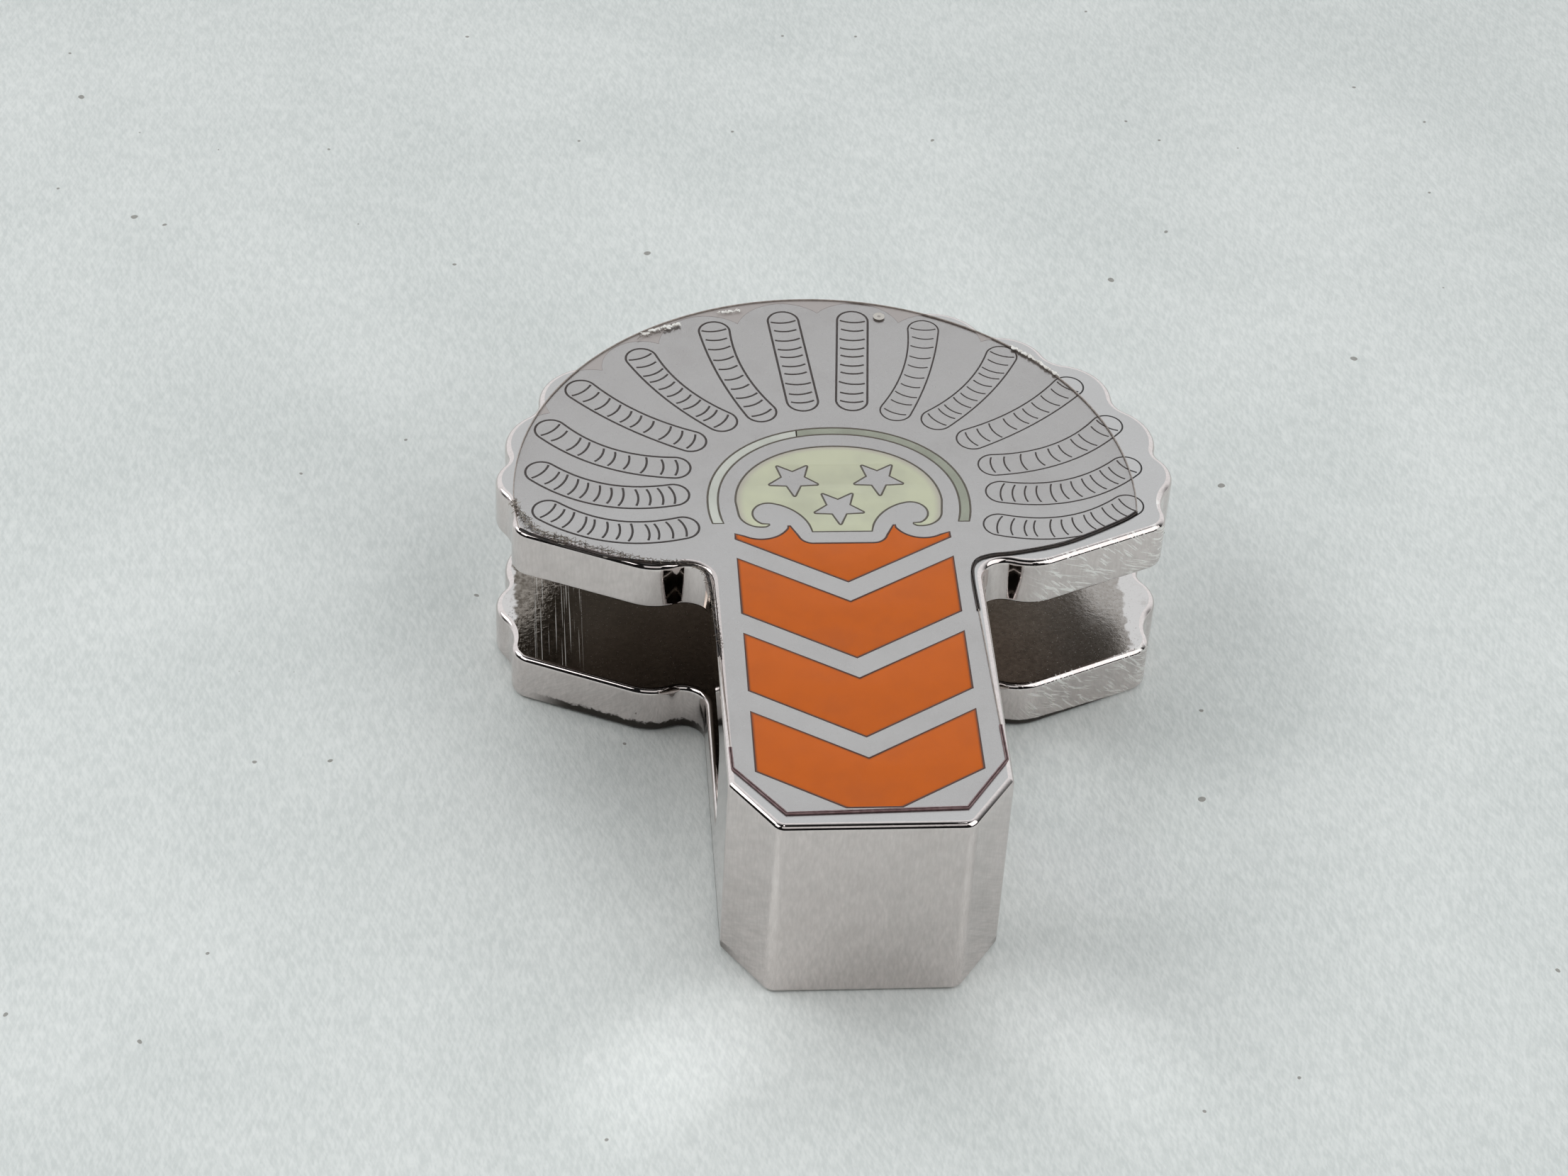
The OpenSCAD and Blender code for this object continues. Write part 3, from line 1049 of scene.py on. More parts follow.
# Where marks lie: two numbers say where they start and are full, four also where they fade and end
SCRATCHED_X = (9.0, 11.5)
SCRATCHED_Y = (-9.0, -7.5, -3.0, -1.5)
LEFT_SHADE_AND_GRIME_X = (-17.0, -14.5, -8.0, -5.9)
LEFT_SHADE_AND_GRIME_Y = (3.0, 1.0)
RIGHT_FOOT_SHADE_X = (6.5, 8.0, 14.0, 16.5)
RIGHT_FOOT_SHADE_Y = (0.0, -2.0)
# The painted shade along the foot lies below these heights, which a ragged noise lowers. On the right it
# thins outwards
LEFT_SHADE_AND_GRIME_Z = (1.15, 0.95)
RIGHT_FOOT_SHADE_Z = (1.14, 1.06)
LEFT_RAGGED, RIGHT_RAGGED = 0.7, 0.15
RIGHT_THINS = 0.05


def wall_scratches(f, x, y):
    """Short scratches at the right front, which lean two ways."""
    kinds = []
    for lean, patch in SCRATCH_KINDS:
        stroke = f.noise(size=0.11, detail=1.0, stretch=(12, 8, 1), lean=(0, lean, 0), distortion=0.2)
        patches = f.between(f.noise(size=patch, detail=1.0), *PATCH_LEVELS)
        kinds.append(f.between(stroke, *SCRATCH_LEVELS) * patches)
    return (sum(kinds) * f.between(x, *SCRATCHED_X) * f.within(y, *SCRATCHED_Y)).clamp()


def wall_shade_and_grime(f, x, y, z):
    """Painted shade along the foot of the lower plate, with some dirt in it on the left: ragged on the left,
    thin on the right.
    """
    ragged = f.noise(size=0.35, detail=4.0, roughness=0.7)
    left = f.between(z + ragged * LEFT_RAGGED, *LEFT_SHADE_AND_GRIME_Z)
    left = left * f.within(x, *LEFT_SHADE_AND_GRIME_X) * f.between(y, *LEFT_SHADE_AND_GRIME_Y)
    right = f.between(z + x * RIGHT_THINS + ragged * RIGHT_RAGGED, *RIGHT_FOOT_SHADE_Z)
    right = right * f.within(x, *RIGHT_FOOT_SHADE_X) * f.between(y, *RIGHT_FOOT_SHADE_Y)
    return (left + right).clamp()


# %% Polished walls
def polished_wall():
    """Walls and edges: bright, with an upright grain, smudges, pits, scratches, and painted shade with some
    dirt along the foot.
    """
    f = Finish("polished_wall")
    x, y, z = f.plan()
    marks = f.marks(WALL_MARKS)
    marks["waves"] = f.noise(**WAVES)
    marks |= {"scratches": wall_scratches(f, x, y), "shade_and_grime": wall_shade_and_grime(f, x, y, z)}
    color = f.mix(weighed(marks, WALL_DULLS).clamp(), PLATED, PLATED_DULL)
    color = f.mix(marks["scratches"] * SCRATCH_BRIGHT, color, FRESH_CUT)
    # Painted shade: the dark contact under the plate, as the rounded foot reflects it
    color = f.mix(marks["shade_and_grime"] * SHADE_AND_GRIME_DARK, color, SHADE_AND_GRIME)
    normal = f.bump(weighed(marks, WALL_RAISES), strength=0.5, depth=0.02)
    return f.surface(Base_Color=color, Metallic=1.0, Roughness=WALL_ROUGH + weighed(marks, WALL_ROUGHENS),
                     Normal=normal)


# %% [markdown]
# Upper face.
# The upper face was ground flat before it was enamelled, so it is finer and more even
# than the walls, and shines softly like silk. A very fine noise makes the speckle, and
# a wide one lets the tone drift. It darkens a little towards the back.

# %% Upper face
FACE_METAL = (0.530, 0.522, 0.518, 1.0)
FACE_SHADE = (0.45, 0.435, 0.428, 1.0)
FACE_GRAIN = dict(size=0.07, detail=3.0, roughness=0.6)
SPECKLE_LEVELS = (0.35, 0.65)
FACE_MARKS = {"cloud": ((0.35, 0.7), dict(size=5.0, detail=2.0))}
FACE_SHADES = {"speckle": 0.30, "cloud": 0.15, "back": 0.10}
BACK_Y = (4.0, 15.0)
FACE_ROUGH, GRAIN_ROUGHENS = 0.24, 0.10


def satin_face():
    """Upper face: ground flat, finer and more even than the walls, with a silky speckle."""
    f = Finish("satin_face")
    x, y, z = f.plan()
    grain = f.noise(**FACE_GRAIN)
    marks = f.marks(FACE_MARKS)
    marks |= {"speckle": f.between(grain, *SPECKLE_LEVELS), "back": f.between(y, *BACK_Y)}
    color = f.mix(weighed(marks, FACE_SHADES).clamp(), FACE_METAL, FACE_SHADE)
    return f.surface(Base_Color=color, Metallic=1.0, Roughness=FACE_ROUGH + grain * GRAIN_ROUGHENS,
                     Normal=f.bump(grain, strength=0.10, depth=0.01))


# %% [markdown]
# Inside the gap.
# The gap's lower face is dull and stained inside, and scratched and crumpled at its left end. Its rims are
# painted bright, as painted light where the gap opens, and the crumpled end is painted dark, darker still in
# its folds, as painted shade. Its colour changes from left to right in a few wide steps, over which stains,
# specks and scratches are laid one by one. The gap's upper face shows only in reflections, so two near blacks
# are enough, painted there as shade.

# %% Marks in the gap
GAP_LEFT = (0.39, 0.355, 0.32, 1)
GAP_RIGHT = (0.78, 0.72, 0.67, 1)
GAP_RIGHT_END = (0.40, 0.375, 0.355, 1)
GAP_MOTTLE = (0.25, 0.22, 0.19, 1)
# Near-black painted shade of the crumpled end, and the painted light of the rims
GAP_CREASE_SHADE = (0.10, 0.085, 0.07, 1)
GAP_RIM_LIGHT = (0.60, 0.58, 0.57, 1)
GAP_STAIN = (0.24, 0.21, 0.185, 1)
GAP_MARKS = {
    "stains": ((0.50, 0.68), dict(size=1.2, detail=4.0, roughness=0.65)),
    "specks": ((0.62, 0.70), dict(size=0.12, detail=2.0)),
    "scratches": ((0.60, 0.68), dict(size=0.06, detail=1.0, stretch=(1, 140, 1))),
    "mottle": ((0.35, 0.65), dict(size=0.22, detail=3.0, roughness=0.7)),
}
GAP_STAINS = {"stains": 0.30, "specks": 0.20}
GAP_ROUGHENS = {"stains": 0.06, "specks": 0.25, "scratches": 0.45, "dull": 0.12}
GAP_ROUGH = 0.05
MOTTLE_SHARE = 0.45
GAP_SCRATCH_BRIGHT = 0.7
CRUMPLE = dict(size=0.28, detail=3.0, roughness=0.6)
CREASE_LEVELS = (0.35, 0.65)
# How dark the painted shade of the crumpled end is, and how much darker it is painted in its folds
CRUMPLE_SHADE, CREASE_SHADE = 0.45, 0.5
CRUMPLE_RAISES, SCRATCH_RAISES = 1.5, 0.3
RAGGED = dict(size=0.6, detail=3.0)
RAGGED_REACH = 0.9
# Places across the gap: scratches, right half, right end, the painted shade of the creases, dents, the two
# rims painted bright and the dull part
GAP_SCRATCHED_X = (-16.8, -16.0, -14.2, -13.2)
GAP_RIGHT_X = (-2.0, 9.0)
GAP_RIGHT_END_X = (11.0, 14.5)
CREASE_SHADE_X = (-13.0, -15.5)
DENTED_X = (-14.0, -16.0)
RIGHT_RIM_X = (16.85, 17.05)
LEFT_RIM_X = (-17.7, -17.9)
DULL_X = (8.0, 13.0)


# %% Lower face of the gap
def gap_face():
    """Lower face of the gap: dull inside, painted bright at its rims as light where the gap opens, stained,
    scratched at its left end, and painted dark there as shade in its folds.
    """
    f = Finish("gap_face")
    x, y, z = f.plan()
    marks = f.marks(GAP_MARKS)
    marks["scratches"] = (marks["scratches"] * f.within(x, *GAP_SCRATCHED_X)).clamp()
    crumple = f.noise(**CRUMPLE)
    ragged = f.noise(**RAGGED) * RAGGED_REACH
    rim = (f.between(x + ragged, *RIGHT_RIM_X) + f.between(x - ragged, *LEFT_RIM_X)).clamp()
    marks["dull"] = f.between(x, *DULL_X) * (1 - rim)
    color = f.mix(f.between(x, *GAP_RIGHT_X), GAP_LEFT, GAP_RIGHT)
    color = f.mix(f.between(x, *GAP_RIGHT_END_X), color, GAP_RIGHT_END)
    color = f.mix(marks["mottle"] * MOTTLE_SHARE, color, GAP_MOTTLE)
    # Painted shade: the crumpled end is darkened, and its folds more so
    creases = CRUMPLE_SHADE + f.between(crumple, *CREASE_LEVELS) * CREASE_SHADE
    color = f.mix(f.between(x, *CREASE_SHADE_X) * creases, color, GAP_CREASE_SHADE)
    # Painted light: the rims, where the gap opens, are painted paler
    color = f.mix(rim, color, GAP_RIM_LIGHT)
    color = f.mix(weighed(marks, GAP_STAINS).clamp(), color, GAP_STAIN)
    color = f.mix(marks["scratches"] * GAP_SCRATCH_BRIGHT, color, FRESH_CUT)
    dents = f.between(x, *DENTED_X) * CRUMPLE_RAISES + 1.0
    height = crumple * dents + marks["scratches"] * SCRATCH_RAISES
    return f.surface(Base_Color=color, Metallic=1.0, Roughness=GAP_ROUGH + weighed(marks, GAP_ROUGHENS),
                     Normal=f.bump(height, strength=0.5, depth=0.018))


# %% Upper face of the gap, and the pockets
# The gap's upper face is painted nearly black: painted shade
UNDERSIDE_SHADE_DARK = (0.13, 0.11, 0.095, 1)
UNDERSIDE_SHADE_PALE = (0.22, 0.19, 0.17, 1)
POCKET_DARK = rgb(48, 44, 36)
POCKET_PALE = rgb(70, 66, 52)


def shaded_underside():
    """Upper face of the gap: painted nearly black, with a brown cast, as shade."""
    f = Finish("shaded_underside")
    color = f.mix(f.noise(size=2.0, detail=3.0), UNDERSIDE_SHADE_DARK, UNDERSIDE_SHADE_PALE)
    return f.surface(Base_Color=color, Metallic=1.0, Roughness=0.30)


def pocket_metal():
    """Floor and walls of the pockets: dull and dark."""
    f = Finish("pocket_metal")
    return f.surface(Base_Color=f.mix(f.noise(size=0.3), POCKET_DARK, POCKET_PALE), Roughness=0.7)


for make in (satin_face, polished_wall, gap_face, shaded_underside, pocket_metal):
    body.data.materials.append(make())
print("finishes of the body:", [m.name for m in body.data.materials])

# %% [markdown]
# Enamel and engraving.
# Enamel is coloured glass, smooth and slightly cloudy. The orange is deep and even, the cream has a greenish
# mottle, and both turn duller along their rims. The rim could be painted point by point. A formula for the
# distance to the edge is shorter, because the fields are Vs and a half ellipse. The engraved lines and the
# line round each field are dark, because the cut metal has blackened.

# %% Rims of the enamel
# How deep the duller rim reaches into a chevron, from its V edges and from its sides
V_RIM = (0.03, 0.22)
SIDE_RIM = (0.05, 0.2)
# Share of the dome's half width and height at which its rim starts, and the edge itself
DOME_RIM = (0.80, 1.0)


def chevron_rim(f):
    """1 along the edges of the chevrons and 0 inside them."""
    x, y, z = f.plan()
    across = abs(x)
    along = (y + FIELD_DROP - CREST_SIDE_Y - across * (FIELD_DROP / FIELD_HALF)) % FIELD_PITCH
    edge, deep = V_RIM
    inside = f.within(along, edge, deep, FIELD_LENGTH - deep, FIELD_LENGTH - edge)
    edge, deep = SIDE_RIM
    return 1 - inside * f.between(across, FIELD_HALF - edge, FIELD_HALF - deep)


def dome_rim(f):
    """1 along the arch of the dome and 0 inside it."""
    x, y, z = f.plan()
    parts = [abs(v) * (1 / half) for v, half in ((x, DOME[0]), (y - ARCH_Y, DOME[1]))]
    return f.between(sum(v ** ARCH_POWER for v in parts), *DOME_RIM)


# %% Enamel and line finishes
CLOUD_LEVELS = (0.35, 0.65)
ENAMEL_GRAIN = dict(size=0.09, detail=2.0)
ENAMEL_GRAIN_SHARE = 0.25
ENAMEL_RIPPLE = dict(size=0.8, detail=1.0)
CUT_SPECK = dict(size=0.08, detail=1.0)
CUT_LEVELS = (0.35, 0.7)
CUT_SHARE = 0.5


def enamel(name, color, other, edge=None, rim=None, spot=1.5, share=0.5):
    """Glassy enamel that drifts between two near colours and turns into a third at its rim."""
    f = Finish(name)
    cloud = f.between(f.noise(size=spot, detail=3.0, roughness=0.6), *CLOUD_LEVELS) * share
    color = f.mix((cloud + f.noise(**ENAMEL_GRAIN) * ENAMEL_GRAIN_SHARE).clamp(), color, other)
    if rim:
        color = f.mix(rim(f), color, edge)
    normal = f.bump(f.noise(**ENAMEL_RIPPLE), strength=0.1, depth=0.01)
    return f.surface(Base_Color=color, Roughness=0.14, Specular_IOR_Level=0.12, Normal=normal)


def blackened(name, color, worn):
    """Cut metal that has gone dark."""
    f = Finish(name)
    speck = f.between(f.noise(**CUT_SPECK), *CUT_LEVELS)
    return f.surface(Base_Color=f.mix(speck * CUT_SHARE, color, worn), Roughness=0.5)


# Two near tones, and the tone of the rim
ORANGE = ((0.73, 0.142, 0.0, 1), (0.65, 0.124, 0.0, 1), (0.33, 0.070, 0.01, 1))
CREAM = (rgb(225, 229, 199), rgb(212, 216, 192), rgb(202, 197, 186))
ENAMELS = {
    "orange_enamel": enamel("orange_glass", *ORANGE, chevron_rim, share=0.4),
    "cream_enamel": enamel("cream_glass", *CREAM, dome_rim, spot=3.0, share=0.6),
    "pale_enamel": enamel("pale_glass", rgb(228, 232, 223), rgb(214, 220, 210)),
    "green_enamel": enamel("green_glass", rgb(178, 184, 168), rgb(164, 170, 155)),
}
ENGRAVED = blackened("engraved_line", rgb(20, 16, 15), rgb(52, 44, 41))
OLIVE_LINE = blackened("olive_line", rgb(84, 80, 68), rgb(108, 104, 90))
BROWN_LINE = blackened("brown_line", rgb(70, 34, 18), rgb(96, 56, 34))
for name, slot in FIELDS.items():
    enamels[name].data.materials.append(ENAMELS[slot])
print("enamel colours:", list(ENAMELS))

# %% Lines round the enamel
CELL_LINE_W = 0.11
LINE_DEPTH = 0.03
# The blackened strips stand this little above the face, so that they show
LINE_PROUD = 0.002
LINE_Z = TOP_Z + LINE_PROUD - LINE_DEPTH / 2
# The line's middle lies this far inside the pocket's edge
LINE_INSET = 0.02


def outline_of(name):
    """The dark line round each outline of a field, one piece for each."""
    material = BROWN_LINE if FIELDS.get(name) == "orange_enamel" else OLIVE_LINE
    values = {"Line Width": CELL_LINE_W * MM, "Line Depth": LINE_DEPTH * MM, "Material": material}
    loops = field_loops(name, LINE_INSET)
    return [grow(CELL_LINE, path("line", loop, LINE_Z, closed=True), values) for loop in loops]


cell_lines = joined([line for name in POCKETS for line in outline_of(name)], "cell_lines")
print("cell lines:", len(cell_lines.data.polygons), "faces")

# %% Engraved bars
# Middle lines of the left bars: outer end x, y, inner end x, y, sag of the middle
# towards the front, share of the width that the middle keeps, number of strokes
BARS = [
    (-1.97, 13.60, -1.37, 6.47, 0.00, 1.00, 10),
    (-5.92, 12.72, -3.75, 5.57, 0.38, 0.86, 10),
    (-10.13, 10.33, -5.96, 4.77, 0.43, 0.88, 11),
    (-13.57, 7.55, -7.75, 3.08, 0.40, 0.90, 10),
    (-15.33, 4.12, -8.72, 0.85, 0.80, 0.93, 10),
    (-15.92, 0.56, -8.90, -1.42, 0.95, 1.04, 12),
    (-15.60, -2.65, -8.50, -4.12, 0.96, 1.00, 12),
]
BAR_HALF = 0.87
STROKE_REACH = 0.80
STROKE_BOW = 0.20
STROKE_SLIP = 0.13
# Width of the cut and weight of the strokes: the left bars and the middle ones are cut deeper
DEEP_CUT, LIGHT_CUT = (0.125, 1.45), (0.095, 1.15)


def bar_spine(x0, y0, x1, y1, sag, steps=24):
    """Bowed middle line from the outer end of a bar to its inner end."""
    start, end = np.array([x0, y0]), np.array([x1, y1])
    chord = end - start
    side = np.array([chord[1], -chord[0]]) / np.linalg.norm(chord)
    shares = [i / steps for i in range(steps + 1)]
    return [start + chord * u + side * sag * 4 * u * (1 - u) for u in shares]


def engraved_bar(name, spine, number, cut, waist, strokes):
    """One bar, engraved along its middle line."""
    width, weight = cut
    return grow(ENGRAVED_BAR, path(name, spine, LINE_Z), {
        "Half Width": BAR_HALF * MM, "Waist": waist, "Strokes": strokes, "Stroke Reach": STROKE_REACH,
        "Stroke Bow": STROKE_BOW * MM, "Stroke Weight": weight, "Jitter": STROKE_SLIP * MM,
        "Line Width": width * MM, "Line Depth": LINE_DEPTH * MM, "Seed": number, "Material": ENGRAVED,
    })


bars = []
for number, (*middle_line, waist, strokes) in enumerate(BARS):
    left_spine = bar_spine(*middle_line)
    right_spine = [np.array([-p[0], p[1]]) for p in left_spine]
    right_cut = LIGHT_CUT if number else DEEP_CUT
    bars.append(engraved_bar(f"bar_left_{number}", left_spine, number, DEEP_CUT, waist, strokes))
    bars.append(engraved_bar(f"bar_right_{number}", right_spine, number, right_cut, waist, strokes))
bars = joined(bars, "engraved_bars")
print("engraved bars:", len(bars.data.polygons), "faces")

# %% [markdown]
# Protective film.
# New metalware is sold with a clear film over its face. This one is cut roughly round
# at the back and straight down the stem, and it lies a little crooked. It is a thin
# slab, nearly clear, because a slab has the cut edge that makes a film show. Its drawing
# is made straight and then turned, as the real one was cut first and laid on later.

# %% Outline of the film
FILM_C = np.array([-0.65, -1.3])
FILM_R = 16.8
FILM_TURN = 1.5
# Half widths of the strip down the stem, on the right and on the left
FILM_RIGHT = 7.05
FILM_LEFT = 6.8
FILM_FRONT = 24.33
FILM_CHAMFER = (2.4, 3.3)
FILM_EDGE = [(16.6, -2.4), (16.0, -2.9), (14.1, -3.95), (12.2, -4.85), (9.5, -5.43), (8.3, -5.5)]
FILM_NECK_Y = -6.8
FILM_CORNER = (0.35, 0.95)
FILM_STEP = 0.4
FILM_T = 0.094


def film_points(points):
    """Places given in the film's own drawing, turned and moved as it lies."""
    c, s = math.cos(math.radians(FILM_TURN)), math.sin(math.radians(FILM_TURN))
    return [FILM_C + np.array([c * p[0] - s * p[1], s * p[0] + c * p[1]]) for p in points]


def film_neck(half):
    """Waved edge of the film's fan, and the corner where it meets the strip down the stem."""
    return [*FILM_EDGE, (half + FILM_CORNER[0], FILM_NECK_Y + FILM_CORNER[1]), (half, FILM_NECK_Y)]


def film_side(half):
    """One side of the film from the fan to the front, for the right side."""
    foot = [(half, FILM_CHAMFER[1] - FILM_FRONT), (half - FILM_CHAMFER[0], -FILM_FRONT)]
    return [np.array(p, float) for p in [*film_neck(half), *foot]]


def film_outline():
    """Edge of the film: round at the back, waved beside the stem, straight down it."""
    start = heading((0, 0), FILM_EDGE[0])
    back = arc((0, 0), FILM_R, 180 - start, start, FILM_STEP)
    return tidy(film_points([*back, *film_side(FILM_RIGHT), *flip(film_side(FILM_LEFT))]))


# %% Film finish
FILM_MARKS = {"dust": ((0.45, 0.75), dict(size=3.0, detail=4.0, roughness=0.6))}
FILM_ON_METAL = rgb(134, 115, 108)
# Pale tone painted under the film past the plate: painted light, matched to the lit face
FILM_PAINTED_PALE = rgb(186, 179, 176)
FILM_ALPHAS = {"dust": 0.02, "brown": 0.028, "painted_overhang": 0.92}
FILM_ALPHA = 0.045
FILM_ROUGH, DUST_ROUGHENS = 0.20, 0.12
# The brown cast grows from the first of these places in y to the second
BROWN_Y = (-6.0, 3.0)
# Past the plate only the film's bottom takes the painted pale tone, and only at the back: heights and places
# in y
FILM_BOTTOM_Z = (TOP_Z + 0.06, TOP_Z + 0.04)
OVERHANG_Y = (2.0, 4.0)
OVERHANG_STEP = 0.02
# The plate at the back is a disc, this much smaller than its reach, with five scallops on each side
DISC_INSET = 2.0
BACK_SCALLOPS = 5


def past_plate(f, x, y, z):
    """1 on the film's bottom where the film reaches past the flat of the plate's back."""
    beyond = f.reach(abs(x), y) - (BACK_REACH - DISC_INSET)
    for centre_x, centre_y, radius, _ in LOBES[:BACK_SCALLOPS]:
        beyond = beyond.math("MINIMUM", beyond, f.reach(abs(x) - centre_x, y - centre_y) - radius)
    off = f.between(beyond, -EDGE_ROUND - OVERHANG_STEP, -EDGE_ROUND + OVERHANG_STEP)
    return off * f.between(y, *OVERHANG_Y) * f.between(z, *FILM_BOTTOM_Z)


def clear_film():
    """Clear plastic with a grey-brown cast. Where it reaches past the plate at the back, its bottom is
    painted an opaque pale tone: painted light that stands for the lit face and hides the reflections of the
    plate's rounded edge.
    """
    f = Finish("clear_film")
    x, y, z = f.plan()
    marks = f.marks(FILM_MARKS)
    marks |= {"brown": f.between(y, *BROWN_Y), "painted_overhang": past_plate(f, x, y, z)}
    # Painted light: past the plate the film's bottom is painted the pale tone of the lit face
    return f.surface(Base_Color=f.mix(marks["painted_overhang"], FILM_ON_METAL, FILM_PAINTED_PALE),
                     Roughness=FILM_ROUGH + marks["dust"] * DUST_ROUGHENS,
                     Alpha=(FILM_ALPHA + weighed(marks, FILM_ALPHAS)).clamp())


# %% Film
FILM = film_outline()
FILM_Z = TOP_Z + 0.006
film = filled("film_sheet", [FILM], FILM_Z, FILM_Z + FILM_T)
film.data.materials.append(clear_film())
print("film:", len(film.data.polygons), "faces")

# %% [markdown]
# Edge of the film.
# The cut edge is a fine brown-grey line at the back, purple-brown along the bridge, and nearly black at the
# front, painted shade where it stands off the metal a little. Each stretch is a line swept along its part of
# the outline, thicker and thinner along its way. The corners are eased by cutting them twice, because
# scissors leave no sharp ones.

# %% Lines along the film's edge
DUST = dict(size=0.3, detail=3.0)
DUST_LEVELS = (0.35, 0.65)
EDGE_Z = FILM_Z + FILM_T / 2
EDGE_DEPTH = 0.9 * FILM_T


def dusty_edge(name, color, other):
    """Cut edge of the film, or dirt on it."""
    f = Finish(name)
    dust = f.between(f.noise(**DUST), *DUST_LEVELS)
    return f.surface(Base_Color=f.mix(dust, color, other), Roughness=0.45)


def eased(points, rounds=2):
    """The polyline with its corners cut off, and again."""
    for _ in range(rounds):
        cut = [q for a, b in zip(points, points[1:]) for q in (a * 0.75 + b * 0.25, a * 0.25 + b * 0.75)]
        points = [points[0], *cut, points[-1]]
    return points


def denser(points, step):
    """The same polyline with a point at least every step."""
    out = []
    for a, b in zip(points, points[1:]):
        count = max(1, math.ceil(np.linalg.norm(b - a) / step))
        out += [a + (b - a) * i / count for i in range(count)]
    return out + [points[-1]]


def edge_line(points, width, material, taper=None, closed=False):
    """One stretch of the film's edge. The taper gives its share of the full width at places on the way."""
    thickness = taper and list(np.interp(np.linspace(0, 1, len(points)), *taper))
    curve = path("film_edge", points, EDGE_Z, closed, thickness)
    values = {"Line Width": width * MM, "Line Depth": EDGE_DEPTH * MM, "Material": material}
    return grow(CELL_LINE, curve, values)


# %% Film edge
# How far the dark stretches run down the stem, and the bridge's stretch up it
RIGHT_TAIL, LEFT_TAIL = 3, 6
BRIDGE_TAILS = (2.5, 1.5)
NECK_STEP, BRIDGE_STEP = 0.2, 0.3
BACK_WIDTH, BRIDGE_WIDTH, RIGHT_WIDTH, LEFT_WIDTH = 0.05, 0.17, 0.19, 0.16
# Tapers: places from 0 to 1 on the way, and the share of the width at each
RIGHT_TAPER = ((0, 0.1, 0.4, 0.52, 0.63, 0.68, 0.74, 1), (0.5, 1.0, 0.65, 0.4, 0.85, 0.6, 0.35, 0.3))
LEFT_TAPER = ((0, 0.3, 0.45, 0.6, 0.75, 1), (0.3, 0.5, 0.9, 0.9, 0.6, 0.3))
GREY_EDGE = dusty_edge("grey_edge", rgb(158, 148, 140), rgb(182, 172, 164))
BROWN_EDGE = dusty_edge("brown_edge", rgb(122, 90, 92), rgb(148, 120, 120))
# Nearly black: painted shade where the film's front edge stands off the metal
SHADED_EDGE = dusty_edge("shaded_edge", rgb(24, 18, 16), rgb(58, 46, 40))

chamfer_y = FILM_CHAMFER[1] - FILM_FRONT
right_neck = [*film_neck(FILM_RIGHT), (FILM_RIGHT, FILM_NECK_Y - RIGHT_TAIL)]
left_neck = [(-x, y) for x, y in [*film_neck(FILM_LEFT), (FILM_LEFT, FILM_NECK_Y - LEFT_TAIL)]]
bridge = [(FILM_RIGHT, chamfer_y + BRIDGE_TAILS[0]), (FILM_RIGHT, chamfer_y),
          (FILM_RIGHT - FILM_CHAMFER[0], -FILM_FRONT), (FILM_CHAMFER[0] - FILM_LEFT, -FILM_FRONT),
          (-FILM_LEFT, chamfer_y), (-FILM_LEFT, chamfer_y + BRIDGE_TAILS[1])]
right_front, left_front = (denser(eased(film_points(neck)), NECK_STEP) for neck in (right_neck, left_neck))
film_edge = joined([
    edge_line(FILM, BACK_WIDTH, GREY_EDGE, closed=True),
    edge_line(denser(film_points(bridge), BRIDGE_STEP), BRIDGE_WIDTH, BROWN_EDGE),
    edge_line(right_front, RIGHT_WIDTH, SHADED_EDGE, RIGHT_TAPER),
    edge_line(left_front, LEFT_WIDTH, SHADED_EDGE, LEFT_TAPER),
], "film_edge")
print("edge of the film:", len(film_edge.data.polygons), "faces")

# %% [markdown]
# Dirt at the film's edge.
# At the left front, fluff and dirt stick to the glue that has crept out. It is a tangle
# of short fibres. Points are strewn along the edge, each pushed aside by a random
# amount, and each carries a small bowed fibre that is turned and sized at random. Specks
# of glue are strewn in the same way, as flattened drops. The seeds are fixed, so every
# run strews them alike.

# %% Trees for fibres and specks
FULL_TURN = 6.28
FIBRE_POINTS = 6
# Ends and handles of a fibre, as shares of its length
FIBRE_END, FIRST_BOW, SECOND_BOW = 0.5, 0.4, -0.3
FIBRE_SIZES, SPECK_SIZES = (0.3, 1.2), ((0.3, 0.3, 0.25), (1.3, 1.0, 0.45))
FIBRE_TURN_SEED, FIBRE_SIZE_SEED = 21, 22
SPECK_SIZE_SEED, SPECK_TURN_SEED = 23, 24


def scatter(t):
    """Points along the tree's curve, pushed aside at random."""
    inputs = {"Curve": t.given("Geometry"), "Count": t.given("Count")}
    points = t.add("GeometryNodeCurveToPoints", {"mode": "COUNT"}, inputs)
    most = t.place(X=t.given("Spread"), Y=t.given("Spread"))
    push = t.random_vector(t.vector("MULTIPLY", most, (-1, -1, -1)), most, t.given("Seed"))
    return t.moved(points, push)


def fibre_tree():
    """Short bowed fibres along a curve."""
    t = Steps("fluff", {"Count": "Int", "Spread": "Float", "Fibre": "Float", "Line Width": "Float",
                        "Line Depth": "Float", "Seed": "Int", "Material": "Material"})
    start, first, second, end = (t.number("MULTIPLY", t.given("Fibre"), share)
                                 for share in (-FIBRE_END, FIRST_BOW, SECOND_BOW, FIBRE_END))
    fibre = t.add("GeometryNodeCurvePrimitiveBezierSegment", {"mode": "POSITION"}, {
        "Start": t.place(X=start), "Start Handle": t.place(Y=first), "End Handle": t.place(Y=second),
        "End": t.place(X=end)})
    fibre = t.add("GeometryNodeResampleCurve", {"mode": "COUNT"}, {"Curve": fibre, "Count": FIBRE_POINTS})
    turn = t.random(0.0, FULL_TURN, FIBRE_TURN_SEED)
    size = t.random(*FIBRE_SIZES, FIBRE_SIZE_SEED)
    return t.finish(t.sweep(t.real(t.strewn(scatter(t), fibre, turn, size))))


